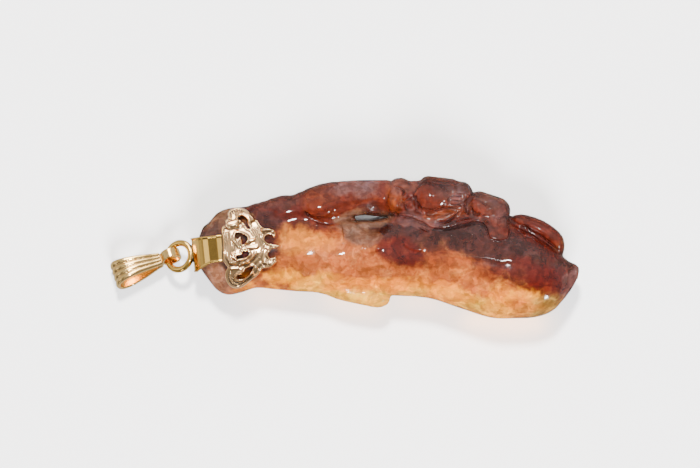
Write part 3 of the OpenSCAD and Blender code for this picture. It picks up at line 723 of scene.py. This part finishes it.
# Lobes with one steep side, whose other side looks straight up: path, height and how far it slopes away.
LOBES = [
    ([[-13.45, 3.5], [-14.0, 3.85], [-14.6, 3.7], [-15.3, 3.5], [-15.65, 3.1]], 0.3, 0.5),
    ([[-11.8, 3.6], [-12.3, 4.25], [-12.9, 4.7], [-13.5, 4.8], [-14.2, 4.45]], 0.3, 0.45),
    ([[-9.5, 2.55], [-10.4, 2.6], [-11.1, 2.65]], 0.2, 0.35),
    ([[-11.7, 1.3], [-12.4, 1.2], [-12.95, 0.95], [-13.25, 0.6]], 0.12, 0.35),
    ([[-12.9, -4.65], [-12.2, -4.15], [-11.4, -3.55], [-10.95, -2.85]], 0.22, 0.35),
    ([[-10.4, -2.6], [-9.8, -2.55], [-9.2, -2.1]], 0.24, 0.4),
    ([[-13.9, -2.25], [-13.2, -2.05], [-12.6, -1.7]], 0.12, 0.3),
    ([[-14.2, -4.35], [-13.4, -4.3], [-12.7, -3.85], [-12.2, -3.3]], 0.14, 0.3)]
for path, height, fade in LOBES:
    gilt.step(on_cap(path), height, fade, 0.12, 0.3)
HOLLOWED = [(-14.9, -2.35, 0.9, 0.2, 0), (-13.2, -2.35, 0.6, 0.16, 20), (-12.1, -1.6, 0.8, 0.14, 45),
            (-10.2, 0.25, 0.5, 0.16, 5), (-14.9, 0.1, 0.25, 0.8, 0), (-14.2, 2.6, 0.8, 0.16, 15)]
for x, y, half_x, half_y, turn in HOLLOWED:
    gilt.spot(*on_cap([[x, y]])[0], half_x, half_y, -0.16, turn - CAP_TURN)
span("cap", gilt)

# %% Plate, strap and ring
def plate_field(block):
    x, y, z = block.everywhere()
    out = np.hypot(y - PLATE_Y, z - (PLATE_Z - PLATE_R))
    shell = trim(PLATE_R - out, out - PLATE_R - PLATE_T - gilt.height[:, :, None], 0.12)
    flat = outline
    for opening in openings:
        flat = np.maximum(flat, -opening)
    return np.maximum(trim(shell, flat[:, :, None], 0.16), 3 - z)


def strap_field(block):
    x, y, z = block.everywhere()
    profile = np.vstack([smooth(STRAP_BACK, 3), STRAP_FRONT])
    sheet = curve_distance(x[:, 0, :], z[:, 0, :], profile)[:, None, :] - STRAP_T / 2
    low = STRAP_LOW + (NECK_LOW - STRAP_LOW) * np.clip((x - 0.4) / 2.0, 0, 1) ** 0.8
    lips = sum(np.exp(-((inset - LIP_INSET) / LIP_WIDTH) ** 2) for inset in (STRAP_HIGH - y, y - low))
    return trim(trim(sheet - LIP_HEIGHT * lips, low - y, 0.08), y - STRAP_HIGH, 0.08)


def ring_field(block):
    x, y, z = block.everywhere()
    across, rise = turned(x - RING_AT[0], z - RING_AT[2], RING_LEAN)
    side, rise = turned(y - RING_AT[1], rise, RING_ROLL)
    return np.hypot(np.hypot(across, side) - RING_REACH, rise) - RING_WIRE / 2


cap.field = join(plate_field(cap), strap_field(cap), 0.15)
cap.field = join(cap.field, ring_field(cap), 0.25)
x, y, z = cap.everywhere()
pin_hole = np.maximum(np.hypot(x - PIN_AT, y) - PIN_HOLE_R, z - 2)
cap.field = np.maximum(cap.field, -pin_hole).astype(np.float32)

cap_place = Matrix.Translation(CAP_AT) @ Matrix.Rotation(math.radians(CAP_TURN), 4, "Z")
gold_cap = cast(cap, "pierced_gold_cap", 0.3, share=0.75, place=cap_place, relief=gilt)
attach(gold_cap, "root")
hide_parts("gold_cap")

# %% [markdown]
# ## The bail
#
# The bail is a strip of thin sheet, fluted, bent into a loop that a chain runs through, and drawn
# together to a hook that hangs on the ring. In its own frame x runs from the fold to the hook. The loop
# is a wall of even thickness round one closed curve, and the flutes are a height on it that depends only
# on how far across a point lies.

# %% Bail measures and field
BAIL_STEP = 0.048
BAIL_WIDTH, WAIST_WIDTH, HOOK_WIDTH, BAIL_T = 3.5, 1.75, 1.3, 0.3
FLUTES, FLUTE_H = 4, 0.27
BAIL_LENGTH, EYE_R = 9.25, 1.05
EYE_AT = BAIL_LENGTH - EYE_R - BAIL_T
WAIST_AT = EYE_AT - EYE_R - BAIL_T
WIRE_AT, WIRE_LOW = EYE_AT - 0.42, 0.1
BAIL_TURN, BAIL_PITCH, BAIL_ROLL = 14.0, 2.98, -24.0
SHEET = [[0, 0], [0.16, 0.62], [0.62, 1.08], [1.5, 1.3], [2.8, 1.2], [4.2, 0.86], [5.6, 0.4], [6.6, 0.16]]


def bail_field(block):
    x, y, z = block.everywhere()
    front = smooth([[px + BAIL_T / 2, pz] for px, pz in SHEET], 4)
    loop = np.vstack([front, (front[1:] * [1, -1])[::-1]])
    middle = loop_distance(x[:, 0, :], z[:, 0, :], loop)[:, None, :]
    half = (BAIL_WIDTH + (WAIST_WIDTH - BAIL_WIDTH) * x / WAIST_AT) / 2
    across = y / half
    in_flute = np.abs((across + 1) * FLUTES / 2 % 1 * 2 - 1)
    flute = FLUTE_H * np.sqrt(np.clip(1 - 0.93 * in_flute ** 2, 0, 1))
    wall = trim(middle - BAIL_T / 2 - flute, -middle - BAIL_T / 2, 0.06)
    sheet = trim(wall, np.abs(y) - half, 0.12)
    sheet = np.maximum(sheet, x - WAIST_AT)
    eye = np.abs(np.hypot(x - EYE_AT, z) - EYE_R - BAIL_T / 2) - BAIL_T / 2
    eye = trim(eye, np.abs(y) - HOOK_WIDTH / 2, 0.12)
    solder = np.maximum(np.abs(x - WAIST_AT + 0.12) - 0.28, np.maximum(np.abs(z) - BAIL_T, np.abs(y) - 0.65))
    return join(join(sheet, solder, 0.15), eye, 0.15).astype(np.float32)


bail_block = Block([-0.3, -2.0, -1.9], [9.5, 2.0, 1.9], BAIL_STEP)
bail_block.field = bail_field(bail_block)
lean = math.radians(RING_LEAN)
WIRE = (RING_AT[0] - RING_REACH * math.cos(lean), RING_AT[1], RING_AT[2] - RING_REACH * math.sin(lean))
bail_place = (cap_place @ Matrix.Translation(WIRE)
              @ Matrix.Rotation(math.radians(BAIL_TURN), 4, "Z")
              @ Matrix.Rotation(math.radians(-BAIL_PITCH), 4, "Y")
              @ Matrix.Rotation(math.radians(BAIL_ROLL), 4, "X")
              @ Matrix.Translation((-WIRE_AT, 0, WIRE_LOW)))
fluted_bail = cast(bail_block, "fluted_bail", 0.35, share=0.8, place=bail_place)
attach(fluted_bail, "root")
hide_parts("bail")

# %% [markdown]
# ## Writing materials as sums
#
# A node tree is hard to read once it grows, but most of it is arithmetic. So a small class wraps an
# output socket, and Python's own operators add the Math nodes.

# %% Sockets that can be added and multiplied
class Wire:
    """A value, colour or vector on its way through a material."""

    def __init__(self, bench, socket):
        self.bench, self.socket = bench, socket

    def _math(self, operation, *values):
        return self.bench.node("ShaderNodeMath", {"operation": operation}, dict(enumerate(values)))

    def __add__(self, other):
        return self._math("ADD", self, other)

    def __sub__(self, other):
        return self._math("SUBTRACT", self, other)

    def __rsub__(self, other):
        return self._math("SUBTRACT", other, self)

    def __mul__(self, other):
        return self._math("MULTIPLY", self, other)

    def __rpow__(self, other):
        return self._math("POWER", other, self)

    def clipped(self):
        return self.bench.node("ShaderNodeClamp", {}, {"Value": self})

    __radd__ = __add__
    __rmul__ = __mul__


class Bench:
    """A material being made."""

    def __init__(self, name):
        self.material = bpy.data.materials.new(name)
        self.material.use_nodes = True
        self.tree = self.material.node_tree
        self.shader = self.tree.nodes["Principled BSDF"]

    @classmethod
    def for_tree(cls, tree):
        """A bench over a tree that is there already."""
        bench = cls.__new__(cls)
        bench.tree = tree
        return bench

    def node(self, kind, settings, sockets, out=0):
        """Any node: its settings first, then the values or wires of its sockets."""
        made = self.tree.nodes.new(kind)
        for key, value in settings.items():
            setattr(made, key, value)
        for key, value in sockets.items():
            if isinstance(value, Wire):
                self.tree.links.new(value.socket, made.inputs[key])
            else:
                made.inputs[key].default_value = value
        return Wire(self, made.outputs[out])

    def place(self):
        """Where a point of the piece lies, in millimetres."""
        spot = self.node("ShaderNodeTexCoord", {}, {}, "Object")
        return self.node("ShaderNodeVectorMath", {"operation": "SCALE"}, {0: spot, "Scale": 1 / MM})

    def noise(self, where, scale, detail=3.0, rough=0.55, out="Fac", **more):
        sockets = {"Vector": where, "Scale": scale, "Detail": detail, "Roughness": rough, **more}
        return self.node("ShaderNodeTexNoise", {}, sockets, out)

    def shift(self, where, by, size):
        """Moves a place by a colour's three channels, each taken from -size to size."""
        centred = self.node("ShaderNodeVectorMath", {"operation": "SUBTRACT"}, {0: by, 1: (0.5, 0.5, 0.5)})
        moved = self.node("ShaderNodeVectorMath", {"operation": "SCALE"}, {0: centred, "Scale": 2 * size})
        return self.node("ShaderNodeVectorMath", {"operation": "ADD"}, {0: where, 1: moved})

    def between(self, value, low, high, to_low=0.0, to_high=1.0):
        """A value's share of a range, smooth and clamped."""
        return self.node("ShaderNodeMapRange", {"interpolation_type": "SMOOTHSTEP"},
                         {"Value": value, "From Min": low, "From Max": high, "To Min": to_low,
                          "To Max": to_high})

    def mix(self, share, a, b, how="MIX"):
        """Colour b over colour a."""
        made = self.tree.nodes.new("ShaderNodeMix")
        made.data_type, made.blend_type = "RGBA", how
        for socket, value in zip((made.inputs[0], made.inputs[6], made.inputs[7]), (share, a, b)):
            if isinstance(value, Wire):
                self.tree.links.new(value.socket, socket)
            else:
                socket.default_value = value if isinstance(value, float) else (*value, 1.0)
        return Wire(self, made.outputs[2])

    def set(self, **sockets):
        """Values or wires for the shader's own sockets, with _ for each space."""
        for key, value in sockets.items():
            socket = self.shader.inputs[key.replace("_", " ")]
            if isinstance(value, Wire):
                self.tree.links.new(value.socket, socket)
            else:
                socket.default_value = value

    def bump(self, height, strength, distance):
        return self.node("ShaderNodeBump", {}, {"Height": height, "Strength": strength,
                                                "Distance": distance * MM})


# %% [markdown]
# ## The jade
#
# Russet jade owes its colours to iron that seeped in along cracks: nearly clear honey and cream where
# none reached, orange and russet where it did, and purple brown in the skin of the pebble. So the
# material starts as honey, and soft patches go over it, each an ellipse in plan. All of them are looked
# up at a place that noise has pushed about, which frays their edges as in a stain. Light enters the
# stone a little, so the shader scatters it under the surface, below a hard polish.
# A few patches paint sheen on edges and rims, and the colour is painted darker in creases and lighter where
# the stone is thin, for shade and for light let through.

# %% Patches of colour
CREAM = (0.38, 0.165, 0.012)
STRAW = (0.14, 0.064, 0.010)
HONEY = (0.38, 0.112, 0.002)
PEACH = (0.185, 0.042, 0.0085)
AMBER = (0.41, 0.100, 0.004)
ORANGE = (0.125, 0.019, 0.002)
RUST = (0.075, 0.0120, 0.0020)
PINK = (0.115, 0.047, 0.025)
RUSSET = (0.056, 0.0070, 0.0025)
BLOOD = (0.036, 0.0026, 0.0012)
MAROON = (0.036, 0.0040, 0.0020)
INK = (0.014, 0.0042, 0.0032)
PLUM = (0.024, 0.0060, 0.0042)
ROSEWOOD = (0.048, 0.0145, 0.0105)
# Mauve is the stone's own tone in places, and painted sheen on the top edge and the bevelled rim.
MAUVE_AND_SHEEN = (0.090, 0.034, 0.028)
OLIVE = (0.092, 0.040, 0.018)
SMOKE = (0.090, 0.038, 0.020)

# Colour, place, half sizes, turn, softness and strength.
PATCHES = [
    (PEACH, -4.0, 0.0, 10.0, 3.4, -3, 0.7, 0.85),
    (PEACH, 4.0, -1.4, 7.0, 2.4, 0, 0.7, 0.95),
    (PEACH, 15.5, -2.6, 7.0, 2.6, -6, 0.8, 0.85),
    (HONEY, -5.5, 0.9, 3.2, 1.3, 0, 1.0, 0.5),
    (HONEY, -4.8, -3.9, 3.4, 0.7, 0, 1.0, 0.8),
    (RUST, -14.4, -5.8, 1.6, 1.0, -15, 0.7, 0.6),
    (CREAM, -3.4, -5.2, 2.4, 1.4, 0, 0.9, 0.7),
    (CREAM, 2.0, -6.9, 5.5, 1.5, -8, 0.7, 0.9),
    (CREAM, 8.8, -5.8, 3.2, 0.8, 0, 0.8, 0.9),
    (CREAM, 17.5, -7.6, 5.0, 1.0, -18, 0.8, 0.85),
    (STRAW, 26.4, -7.9, 3.4, 1.5, 22, 0.6, 0.95),
    (AMBER, 3.4, -4.9, 5.4, 0.8, -2, 0.9, 0.85),
    (AMBER, 13.2, -5.8, 3.0, 0.9, -14, 0.9, 0.7),
    (AMBER, 21.6, -7.6, 3.2, 1.5, 0, 0.9, 0.4),
    (ORANGE, -1.5, 2.3, 1.8, 0.8, 0, 0.9, 0.8),
    (RUST, 11.2, -0.9, 2.6, 1.5, -6, 0.8, 1.0),
    (ORANGE, 13.6, -1.6, 3.2, 0.8, -8, 0.9, 0.5),
    (RUST, 19.1, -2.4, 2.2, 1.5, -20, 0.8, 1.0),
    (MAROON, -12.9, 0.6, 3.7, 4.0, 0, 0.4, 0.97),
    (BLOOD, -9.9, -0.9, 1.2, 1.0, 0, 0.6, 0.9),
    (MAROON, -11.0, 5.2, 9.5, 2.4, 8, 0.4, 0.97),
    (MAROON, -6.5, 4.4, 4.5, 1.5, 0, 0.5, 0.92),
    (ROSEWOOD, -7.5, 6.9, 4.0, 0.8, 15, 0.8, 0.5),
    (PLUM, -10.6, 3.4, 2.2, 1.4, 10, 0.7, 0.8),
    (RUSSET, -2.0, 5.6, 3.0, 2.6, 0, 0.5, 0.97),
    (RUSSET, 2.4, 6.7, 4.6, 2.5, 2, 0.5, 0.97),
    # Painted sheen: this pale patch stands for the reflection along the bough's top edge.
    (MAUVE_AND_SHEEN, 1.5, 8.9, 5.8, 1.3, 1, 0.8, 0.9),
    (PLUM, -3.2, 8.2, 2.4, 0.9, 18, 0.6, 0.7),
    (OLIVE, -17.2, 3.2, 3.4, 3.2, 35, 0.35, 0.97),
    (PINK, -17.2, -3.4, 3.0, 2.4, -20, 0.5, 0.95),
    (SMOKE, 1.9, 2.7, 2.4, 2.2, 0, 0.3, 0.95),
    (PLUM, 4.6, 5.2, 2.1, 1.1, -12, 0.5, 0.85),
    (RUST, 7.0, 1.5, 2.3, 1.5, -8, 0.6, 0.85),
    (RUST, 4.9, 2.0, 1.5, 1.1, 15, 0.6, 0.85),
    (PLUM, 7.4, 3.0, 2.6, 1.8, -8, 0.5, 0.97),
    (PLUM, 13.0, 2.6, 8.5, 2.4, -2, 0.5, 0.98),
    (PLUM, 19.5, 0.8, 5.5, 2.4, -10, 0.5, 0.98),
    (PLUM, 25.0, -0.6, 5.2, 3.0, -32, 0.5, 0.98),
    (PLUM, 29.6, -3.2, 2.4, 2.4, -35, 0.6, 0.93),
    (BLOOD, 7.4, -0.6, 2.7, 1.6, -8, 0.5, 0.97),
    (MAROON, 23.8, -3.3, 3.4, 1.6, -12, 0.5, 0.95),
    (BLOOD, 27.0, -4.3, 2.8, 2.0, -20, 0.5, 0.95),
    (RUSSET, 7.2, 7.0, 2.6, 3.2, 0, 0.3, 0.97),
    (ORANGE, 6.9, 7.4, 1.1, 1.9, -8, 0.8, 0.75),
    (MAROON, 12.6, 6.2, 5.0, 3.9, -4, 0.3, 0.98),
    (ROSEWOOD, 11.8, 5.0, 2.8, 1.5, -4, 0.8, 0.7),
    (RUSSET, 12.2, 5.6, 2.8, 1.8, -4, 0.7, 0.8),
    (RUST, 12.8, 4.3, 2.1, 0.8, 12, 0.8, 0.7),
    (ROSEWOOD, 15.4, 7.6, 2.6, 1.9, -6, 0.6, 0.8),
    (MAUVE_AND_SHEEN, 15.6, 7.9, 1.9, 1.2, -6, 0.9, 0.35),
    (PLUM, 12.6, 8.8, 3.4, 0.9, -4, 0.6, 0.55),
    (ROSEWOOD, 19.2, 5.9, 3.7, 2.4, -22, 0.4, 0.97),
    (RUSSET, 17.9, 5.0, 1.1, 0.9, -20, 0.7, 0.8),
    (RUSSET, 20.5, 2.7, 1.6, 2.1, 0, 0.4, 0.95),
    (MAROON, 25.6, 2.6, 4.8, 2.4, -38, 0.3, 0.98),
    (RUSSET, 26.8, 2.3, 3.2, 0.9, -42, 0.6, 0.35),
    (MAUVE_AND_SHEEN, 9.6, 3.5, 3.4, 0.6, -14, 0.7, 0.5),
    (ROSEWOOD, 21.0, 5.3, 1.6, 1.3, -20, 0.8, 0.7),
    (RUST, 7.5, 8.5, 1.4, 0.8, -8, 0.8, 0.7),
    (MAUVE_AND_SHEEN, 7.6, 8.7, 1.7, 0.9, -8, 1.0, 0.45),
    (PLUM, 20.0, 0.3, 2.8, 1.3, -8, 0.7, 0.8),
    # Painted sheen on the bevelled rim of the free end.
    (MAUVE_AND_SHEEN, 30.2, -4.7, 0.8, 2.4, -28, 0.9, 0.6),
    (SMOKE, 3.2, 3.85, 2.7, 0.8, 2, 0.4, 0.9),
    (PINK, 2.4, 1.4, 2.0, 0.8, 0, 0.8, 0.7),
    (PLUM, 6.3, 2.3, 1.3, 1.0, 0, 0.6, 0.9),
    (INK, 16.0, 2.4, 3.6, 0.9, 8, 0.8, 0.8),
    (ROSEWOOD, -17.6, 1.7, 1.8, 1.1, 30, 0.7, 0.7),
    (MAROON, 25.9, 2.4, 1.8, 0.9, -38, 0.7, 0.5),
    (RUST, -3.0, 6.9, 1.9, 0.9, 8, 0.9, 0.45),
    (INK, 24.6, -0.4, 2.6, 1.2, -30, 0.9, 0.4)]


# Where the carver's tools left the stone less polished: place, half sizes and turn.
MATTE = [(9.0, 3.5, 3.2, 0.9, -12), (16.6, 2.4, 2.8, 1.0, 8), (7.3, 7.0, 2.2, 2.8, 0),
         (16.0, 7.4, 3.0, 1.9, -8), (17.8, 4.9, 1.4, 1.0, -20), (4.4, 5.0, 1.9, 1.0, -15),
         (13.4, 4.4, 2.4, 1.2, 10)]
UNPOLISHED_ROUGHNESS = 0.5       # in deep hollows, where no polishing stick reached


def oval(bench, where, x, y, half_x, half_y, turn):
    """How far out a place lies from the middle of an oval in plan, whose own edge is at 1."""
    local = bench.node("ShaderNodeMapping", {"vector_type": "TEXTURE"},
                       {"Vector": where, "Location": (x, y, 0), "Rotation": (0, 0, math.radians(turn)),
                        "Scale": (half_x, half_y, 1000)})
    return bench.node("ShaderNodeVectorMath", {"operation": "LENGTH"}, {0: local}, "Value")



def jade_material():
    bench = Bench("russet_jade")
    here = bench.place()
    drift = bench.noise(here, 0.3, 3.0, 0.5, "Color")
    fray = bench.noise(here, 1.0, 2.0, 0.5, "Color")
    frayed = bench.shift(bench.shift(here, drift, 1.4), fray, 0.38)
    grain = bench.noise(here, 1.2, 3.0, 0.5)
    loose = bench.noise(here, 0.7, 3.0, 0.55) - 0.5
    colour = bench.mix(bench.between(bench.noise(frayed, 0.4), 0.35, 0.65), HONEY, PEACH)
    for tone, x, y, half_x, half_y, turn, soft, strength in PATCHES:
        out = oval(bench, frayed, x, y, half_x, half_y, turn)
        stain = bench.between(out + loose, 1.2 + soft / 2, 0.86 - soft / 2)
        colour = bench.mix((1 - 0.1 ** stain) * (strength / 0.9), colour, tone)
    # Crystals of two sizes, milky clouds, fibres along the stone and dark specks.
    for size, low, high in ((0.75, 0.78, 1.22), (1.9, 0.78, 1.22)):
        crystal = bench.node("ShaderNodeTexVoronoi", {"feature": "SMOOTH_F1"},
                             {"Vector": frayed, "Scale": size, "Smoothness": 0.35}, "Color")
        colour = bench.mix(1.0, colour, bench.between(crystal, 0.15, 0.85, low, high), "MULTIPLY")
    milk = bench.between(bench.noise(here, 0.7, 3.0, 0.55), 0.46, 0.72)
    colour = bench.mix(milk * 0.7, colour, (1.35, 1.75, 2.3), "MULTIPLY")
    fibre = bench.node("ShaderNodeMapping", {}, {"Vector": frayed, "Scale": (0.3, 1.6, 1.0)})
    streaks = bench.between(bench.noise(fibre, 1.5, 3.0, 0.5), 0.3, 0.7, 0.86, 1.14)
    colour = bench.mix(1.0, colour, streaks, "MULTIPLY")
    specks = bench.between(bench.noise(here, 2.6, 2.0, 0.5), 0.58, 0.74)
    colour = bench.mix(specks * 0.4, colour, (0.62, 0.42, 0.4), "MULTIPLY")
    hollow = bench.node("ShaderNodeAttribute", {"attribute_name": "hollow"}, {}, "Fac")
    thin = bench.node("ShaderNodeAttribute", {"attribute_name": "thin"}, {}, "Fac")
    # Painted shade, with a little dirt: the colour is darkened in creases and hollows.
    colour = bench.mix(bench.between(hollow, 0.1, 0.7) * 0.7, colour, (0.5, 0.42, 0.45), "MULTIPLY")
    # Painted light: where the stone is thin its colour is lightened for the light that shines through it.
    colour = bench.mix(bench.between(thin, 0.1, 0.7) * 0.5, colour, (1.5, 1.6, 1.8), "MULTIPLY")
    matte = 0.0
    for row in MATTE:
        matte = matte + bench.between(oval(bench, frayed, *row), 1.2, 0.7)
    matte = (matte + bench.between(hollow, 0.3, 0.8)).clipped()
    unpolished = bench.between(hollow, 0.75, 0.98)
    polish = bench.between(grain, 0.25, 0.75, 0.05, 0.10) + matte * 0.14
    bench.set(Base_Color=colour, Roughness=polish + unpolished * UNPOLISHED_ROUGHNESS,
              Subsurface_Weight=0.45, Subsurface_Radius=(1.0, 0.42, 0.2), Subsurface_Scale=1.2 * MM, IOR=1.58)
    fine = bench.noise(here, 2.2, 4.0, 0.6)
    bench.set(Normal=bench.bump(fine, matte * 0.25 + 0.02, 0.04))
    return bench.material


def dress(piece, material):
    """Give a piece its one material."""
    piece.data.materials.clear()
    piece.data.materials.append(material)


dress(jade, jade_material())
print("jade:", len(PATCHES), "patches")

# %% [markdown]
# ## The gold
#
# Worn yellow gold is bright where it rubs and keeps soft scratches. The plate is a shade rosier than
# the strap and ring, as cast work often is beside rolled sheet. Every part of it is metal, so its
# colour is the tint of what it reflects.
# Its hollows are darkened, partly as tarnish and partly as painted shade.

# %% Gold for cap, pin and bail
TARNISH_AND_SHADE = (0.11, 0.075, 0.045)


def gold_material(name, tint, dark, shine, grime_and_shade, sheet_tint=None):
    bench = Bench(name)
    here = bench.place()
    cloud = bench.noise(here, 0.9, 4.0)
    rubbed = bench.node("ShaderNodeMapping", {}, {"Vector": here, "Scale": (1.0, 7.0, 3.0)})
    scratch = bench.noise(rubbed, 1.6, 5.0)
    colour = bench.mix(bench.between(cloud, 0.3, 0.75) * 0.5, tint, dark)
    if sheet_tint:
        across = bench.node("ShaderNodeSeparateXYZ", {}, {"Vector": here})
        colour = bench.mix(bench.between(across, -16.4, -15.9), sheet_tint, colour)
    hollow = bench.node("ShaderNodeAttribute", {"attribute_name": "hollow"}, {}, "Fac")
    tarnish_and_shade = bench.between(hollow, 0.08, 0.55)
    # Tarnish and painted shade: the colour darkens in hollows.
    colour = bench.mix(tarnish_and_shade * grime_and_shade, colour, TARNISH_AND_SHADE)
    bench.set(Base_Color=colour, Metallic=1.0,
              Roughness=bench.between(scratch, 0.3, 0.75, shine, shine + 0.1) + tarnish_and_shade * 0.2,
              Normal=bench.bump(scratch, 0.05, 0.03))
    return bench.material


cap_gold = gold_material("rose_gold_cast", (0.96, 0.60, 0.30), (0.80, 0.46, 0.21), 0.10, 0.95,
                         (0.93, 0.55, 0.13))
strap_gold = gold_material("yellow_gold_sheet", (0.94, 0.60, 0.14), (0.86, 0.48, 0.09), 0.13, 0.6)
bail_gold = gold_material("yellow_gold_bail", (0.95, 0.63, 0.24), (0.88, 0.50, 0.14), 0.09, 0.3)
dress(gold_cap, cap_gold)
dress(fluted_bail, bail_gold)
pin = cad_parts["cap_pin"]
for slot in pin.material_slots:
    slot.material = strap_gold
print("gold on", gold_cap.name, fluted_bail.name, pin.name)

# %% [markdown]
# ## Floor, light and camera
#
# The photograph looks straight down on a pale sheet. A small soft light near the lens gives the short
# bright marks along the crest, and a low one from the lower right, which reaches only the stone, the marks
# on its bevelled end. A light from the top of the picture gives the thin shadow under the stone, and a
# wider one from below it the broad faint shadow above. Reflections don't see the sheet, because steep
# gold would turn white with it. So boards that light only the gold stand round it, the last of them under
# the sheet. Thin honey jade also lets light through, and a few weak warm lights near the sheet add that.

# %% Floor
SHEET_HALF = 1.5


def pale_sheet():
    mesh = bpy.data.meshes.new("pale_sheet")
    corners = [(-SHEET_HALF, -SHEET_HALF, 0), (SHEET_HALF, -SHEET_HALF, 0), (SHEET_HALF, SHEET_HALF, 0),
               (-SHEET_HALF, SHEET_HALF, 0)]
    mesh.from_pydata(corners, [], [(0, 1, 2, 3)])
    sheet = bpy.data.objects.new("pale_sheet", mesh)
    bpy.context.collection.objects.link(sheet)
    bench = Bench("pale_paper")
    tone = bench.noise(bench.place(), 0.01, 2.0)
    bench.set(Base_Color=bench.mix(tone, (0.80, 0.79, 0.79), (0.83, 0.82, 0.82)), Roughness=0.7,
              Specular_IOR_Level=0.2)
    mesh.materials.append(bench.material)
    sheet.visible_glossy = False
    return sheet


pale_sheet()
print("sheet", 2 * SHEET_HALF, "m across")


# %% Lights
def soft_light(name, place, size, power, colour=(1, 1, 1)):
    """A round light that faces the middle of the pendant."""
    data = bpy.data.lights.new(name, "AREA")
    data.shape, data.size, data.energy, data.color = "DISK", size, power, colour
    light = bpy.data.objects.new(name, data)
    light.location = place
    light.rotation_euler = (-light.location).to_track_quat("-Z", "Y").to_euler()
    light.visible_camera = False
    bpy.context.collection.objects.link(light)
    return light


soft_light("near_lens", (0.02, -0.04, 0.9), 0.09, 3.2)
low_spark = soft_light("low_spark", (0.60, -0.62, 0.42), 0.1, 2.6)
from_top = soft_light("from_top", (-0.03, 0.50, 0.8), 0.14, 28.0, (1.0, 0.98, 0.95))
from_below = soft_light("from_below", (0.12, -0.74, 0.66), 0.5, 35.0, (0.97, 0.98, 1.0))
for light in (from_top, from_below):
    light.visible_glossy = False

# White boards that only the gold sees: place, size and power.
BOARDS = [((-0.15, 0.92, 0.34), 0.5, 6.0), ((-0.20, 0.70, 0.68), 0.32, 6.0), ((-0.12, 0.45, 0.80), 0.2, 1.0),
          ((-0.45, -0.75, 0.5), 0.12, 0.6), ((0.0, 0.0, 0.9), 0.5, 0.2), ((-0.85, 0.0, 0.5), 0.4, 0.3),
          ((0.0, 0.0, -0.03), 0.5, 0.35)]
gold_things = bpy.data.collections.new("gold_things")
bpy.context.scene.collection.children.link(gold_things)
for thing in (gold_cap, fluted_bail, pin):
    gold_things.objects.link(thing)
stone_things = bpy.data.collections.new("stone_things")
bpy.context.scene.collection.children.link(stone_things)
stone_things.objects.link(jade)
low_spark.light_linking.receiver_collection = stone_things
for number, (place, size, power) in enumerate(BOARDS):
    board = soft_light("white_board_%d" % number, place, size, power)
    board.light_linking.receiver_collection = gold_things

# Light that the honey part of the stone lets through: place on the floor's edge, length, turn and power.
GLOWS = [(-8.5, -5.7, 9.0, 2, 2.8), (1.0, -7.3, 8.0, -14, 3.0), (11.0, -6.9, 8.0, -8, 3.0),
         (21.5, -9.5, 11.0, -2, 5.5)]
GLOW_HEIGHT, GLOW_WIDTH, GLOW_TILT = 2.4, 0.6, -25
GLOW_WATTS = 1.0e-5          # for each millimetre of length, at a power of 1
for number, (x, y, length, turn, power) in enumerate(GLOWS):
    glow = soft_light("through_stone_%d" % number, (x * MM, y * MM, GLOW_HEIGHT * MM), length * MM,
                      GLOW_WATTS * power * length, (1.0, 0.4, 0.05))
    glow.data.shape, glow.data.size_y = "RECTANGLE", GLOW_WIDTH * MM
    glow.rotation_euler = (math.radians(GLOW_TILT), 0, math.radians(turn))
    glow.visible_glossy = False
print(len(bpy.data.lights), "lights")

# %% The room round it
BELOW_HORIZON = 0.27         # the sheet's mean brightness in a reflection
world = bpy.data.worlds.new("studio")
world.use_nodes = True
sky = Bench.for_tree(world.node_tree)
way = sky.node("ShaderNodeTexCoord", {}, {}, "Generated")
aim = sky.node("ShaderNodeSeparateXYZ", {}, {"Vector": way})
to_right, to_top, up = (Wire(sky, socket) for socket in aim.socket.node.outputs)
panels = sky.between(sky.noise(way, 1.8, 1.0, 0.4), 0.42, 0.6)
above = panels * 0.2 + sky.between(to_top, -0.6, 0.1, 0.14, 0.62)
dark_side = sky.between(to_right, -0.42, -0.5) * sky.between(to_right, -0.74, -0.66)
dark_side = dark_side * sky.between(to_top, 0.4, 0.15)
over = sky.between(up, -0.3, 0.15)
shine = over * above * (1 - dark_side * 0.7) + (1 - over) * BELOW_HORIZON
backdrop = world.node_tree.nodes["Background"]
backdrop.inputs["Color"].default_value = (0.98, 0.99, 1.0, 1.0)
world.node_tree.links.new(shine.socket, backdrop.inputs["Strength"])
bpy.context.scene.world = world
print("room drawn with", len(world.node_tree.nodes), "nodes")

# %% Camera
LENS = 300.0
SENSOR = 36.0
PIXELS_PER_MM = 7.5
PICTURE_W = 700
SEEN_HEIGHT = 4.5            # the height at which that scale holds
camera_data = bpy.data.cameras.new("camera")
camera_data.lens, camera_data.sensor_width = LENS, SENSOR
camera = bpy.data.objects.new("camera", camera_data)
away = PICTURE_W / PIXELS_PER_MM * LENS / SENSOR
camera.location = (0.78 * MM, 1.88 * MM, (SEEN_HEIGHT + away) * MM)
camera_data.clip_end = 10
bpy.context.collection.objects.link(camera)
bpy.context.scene.camera = camera
print("camera", round(away / 1000, 3), "m above the pendant")
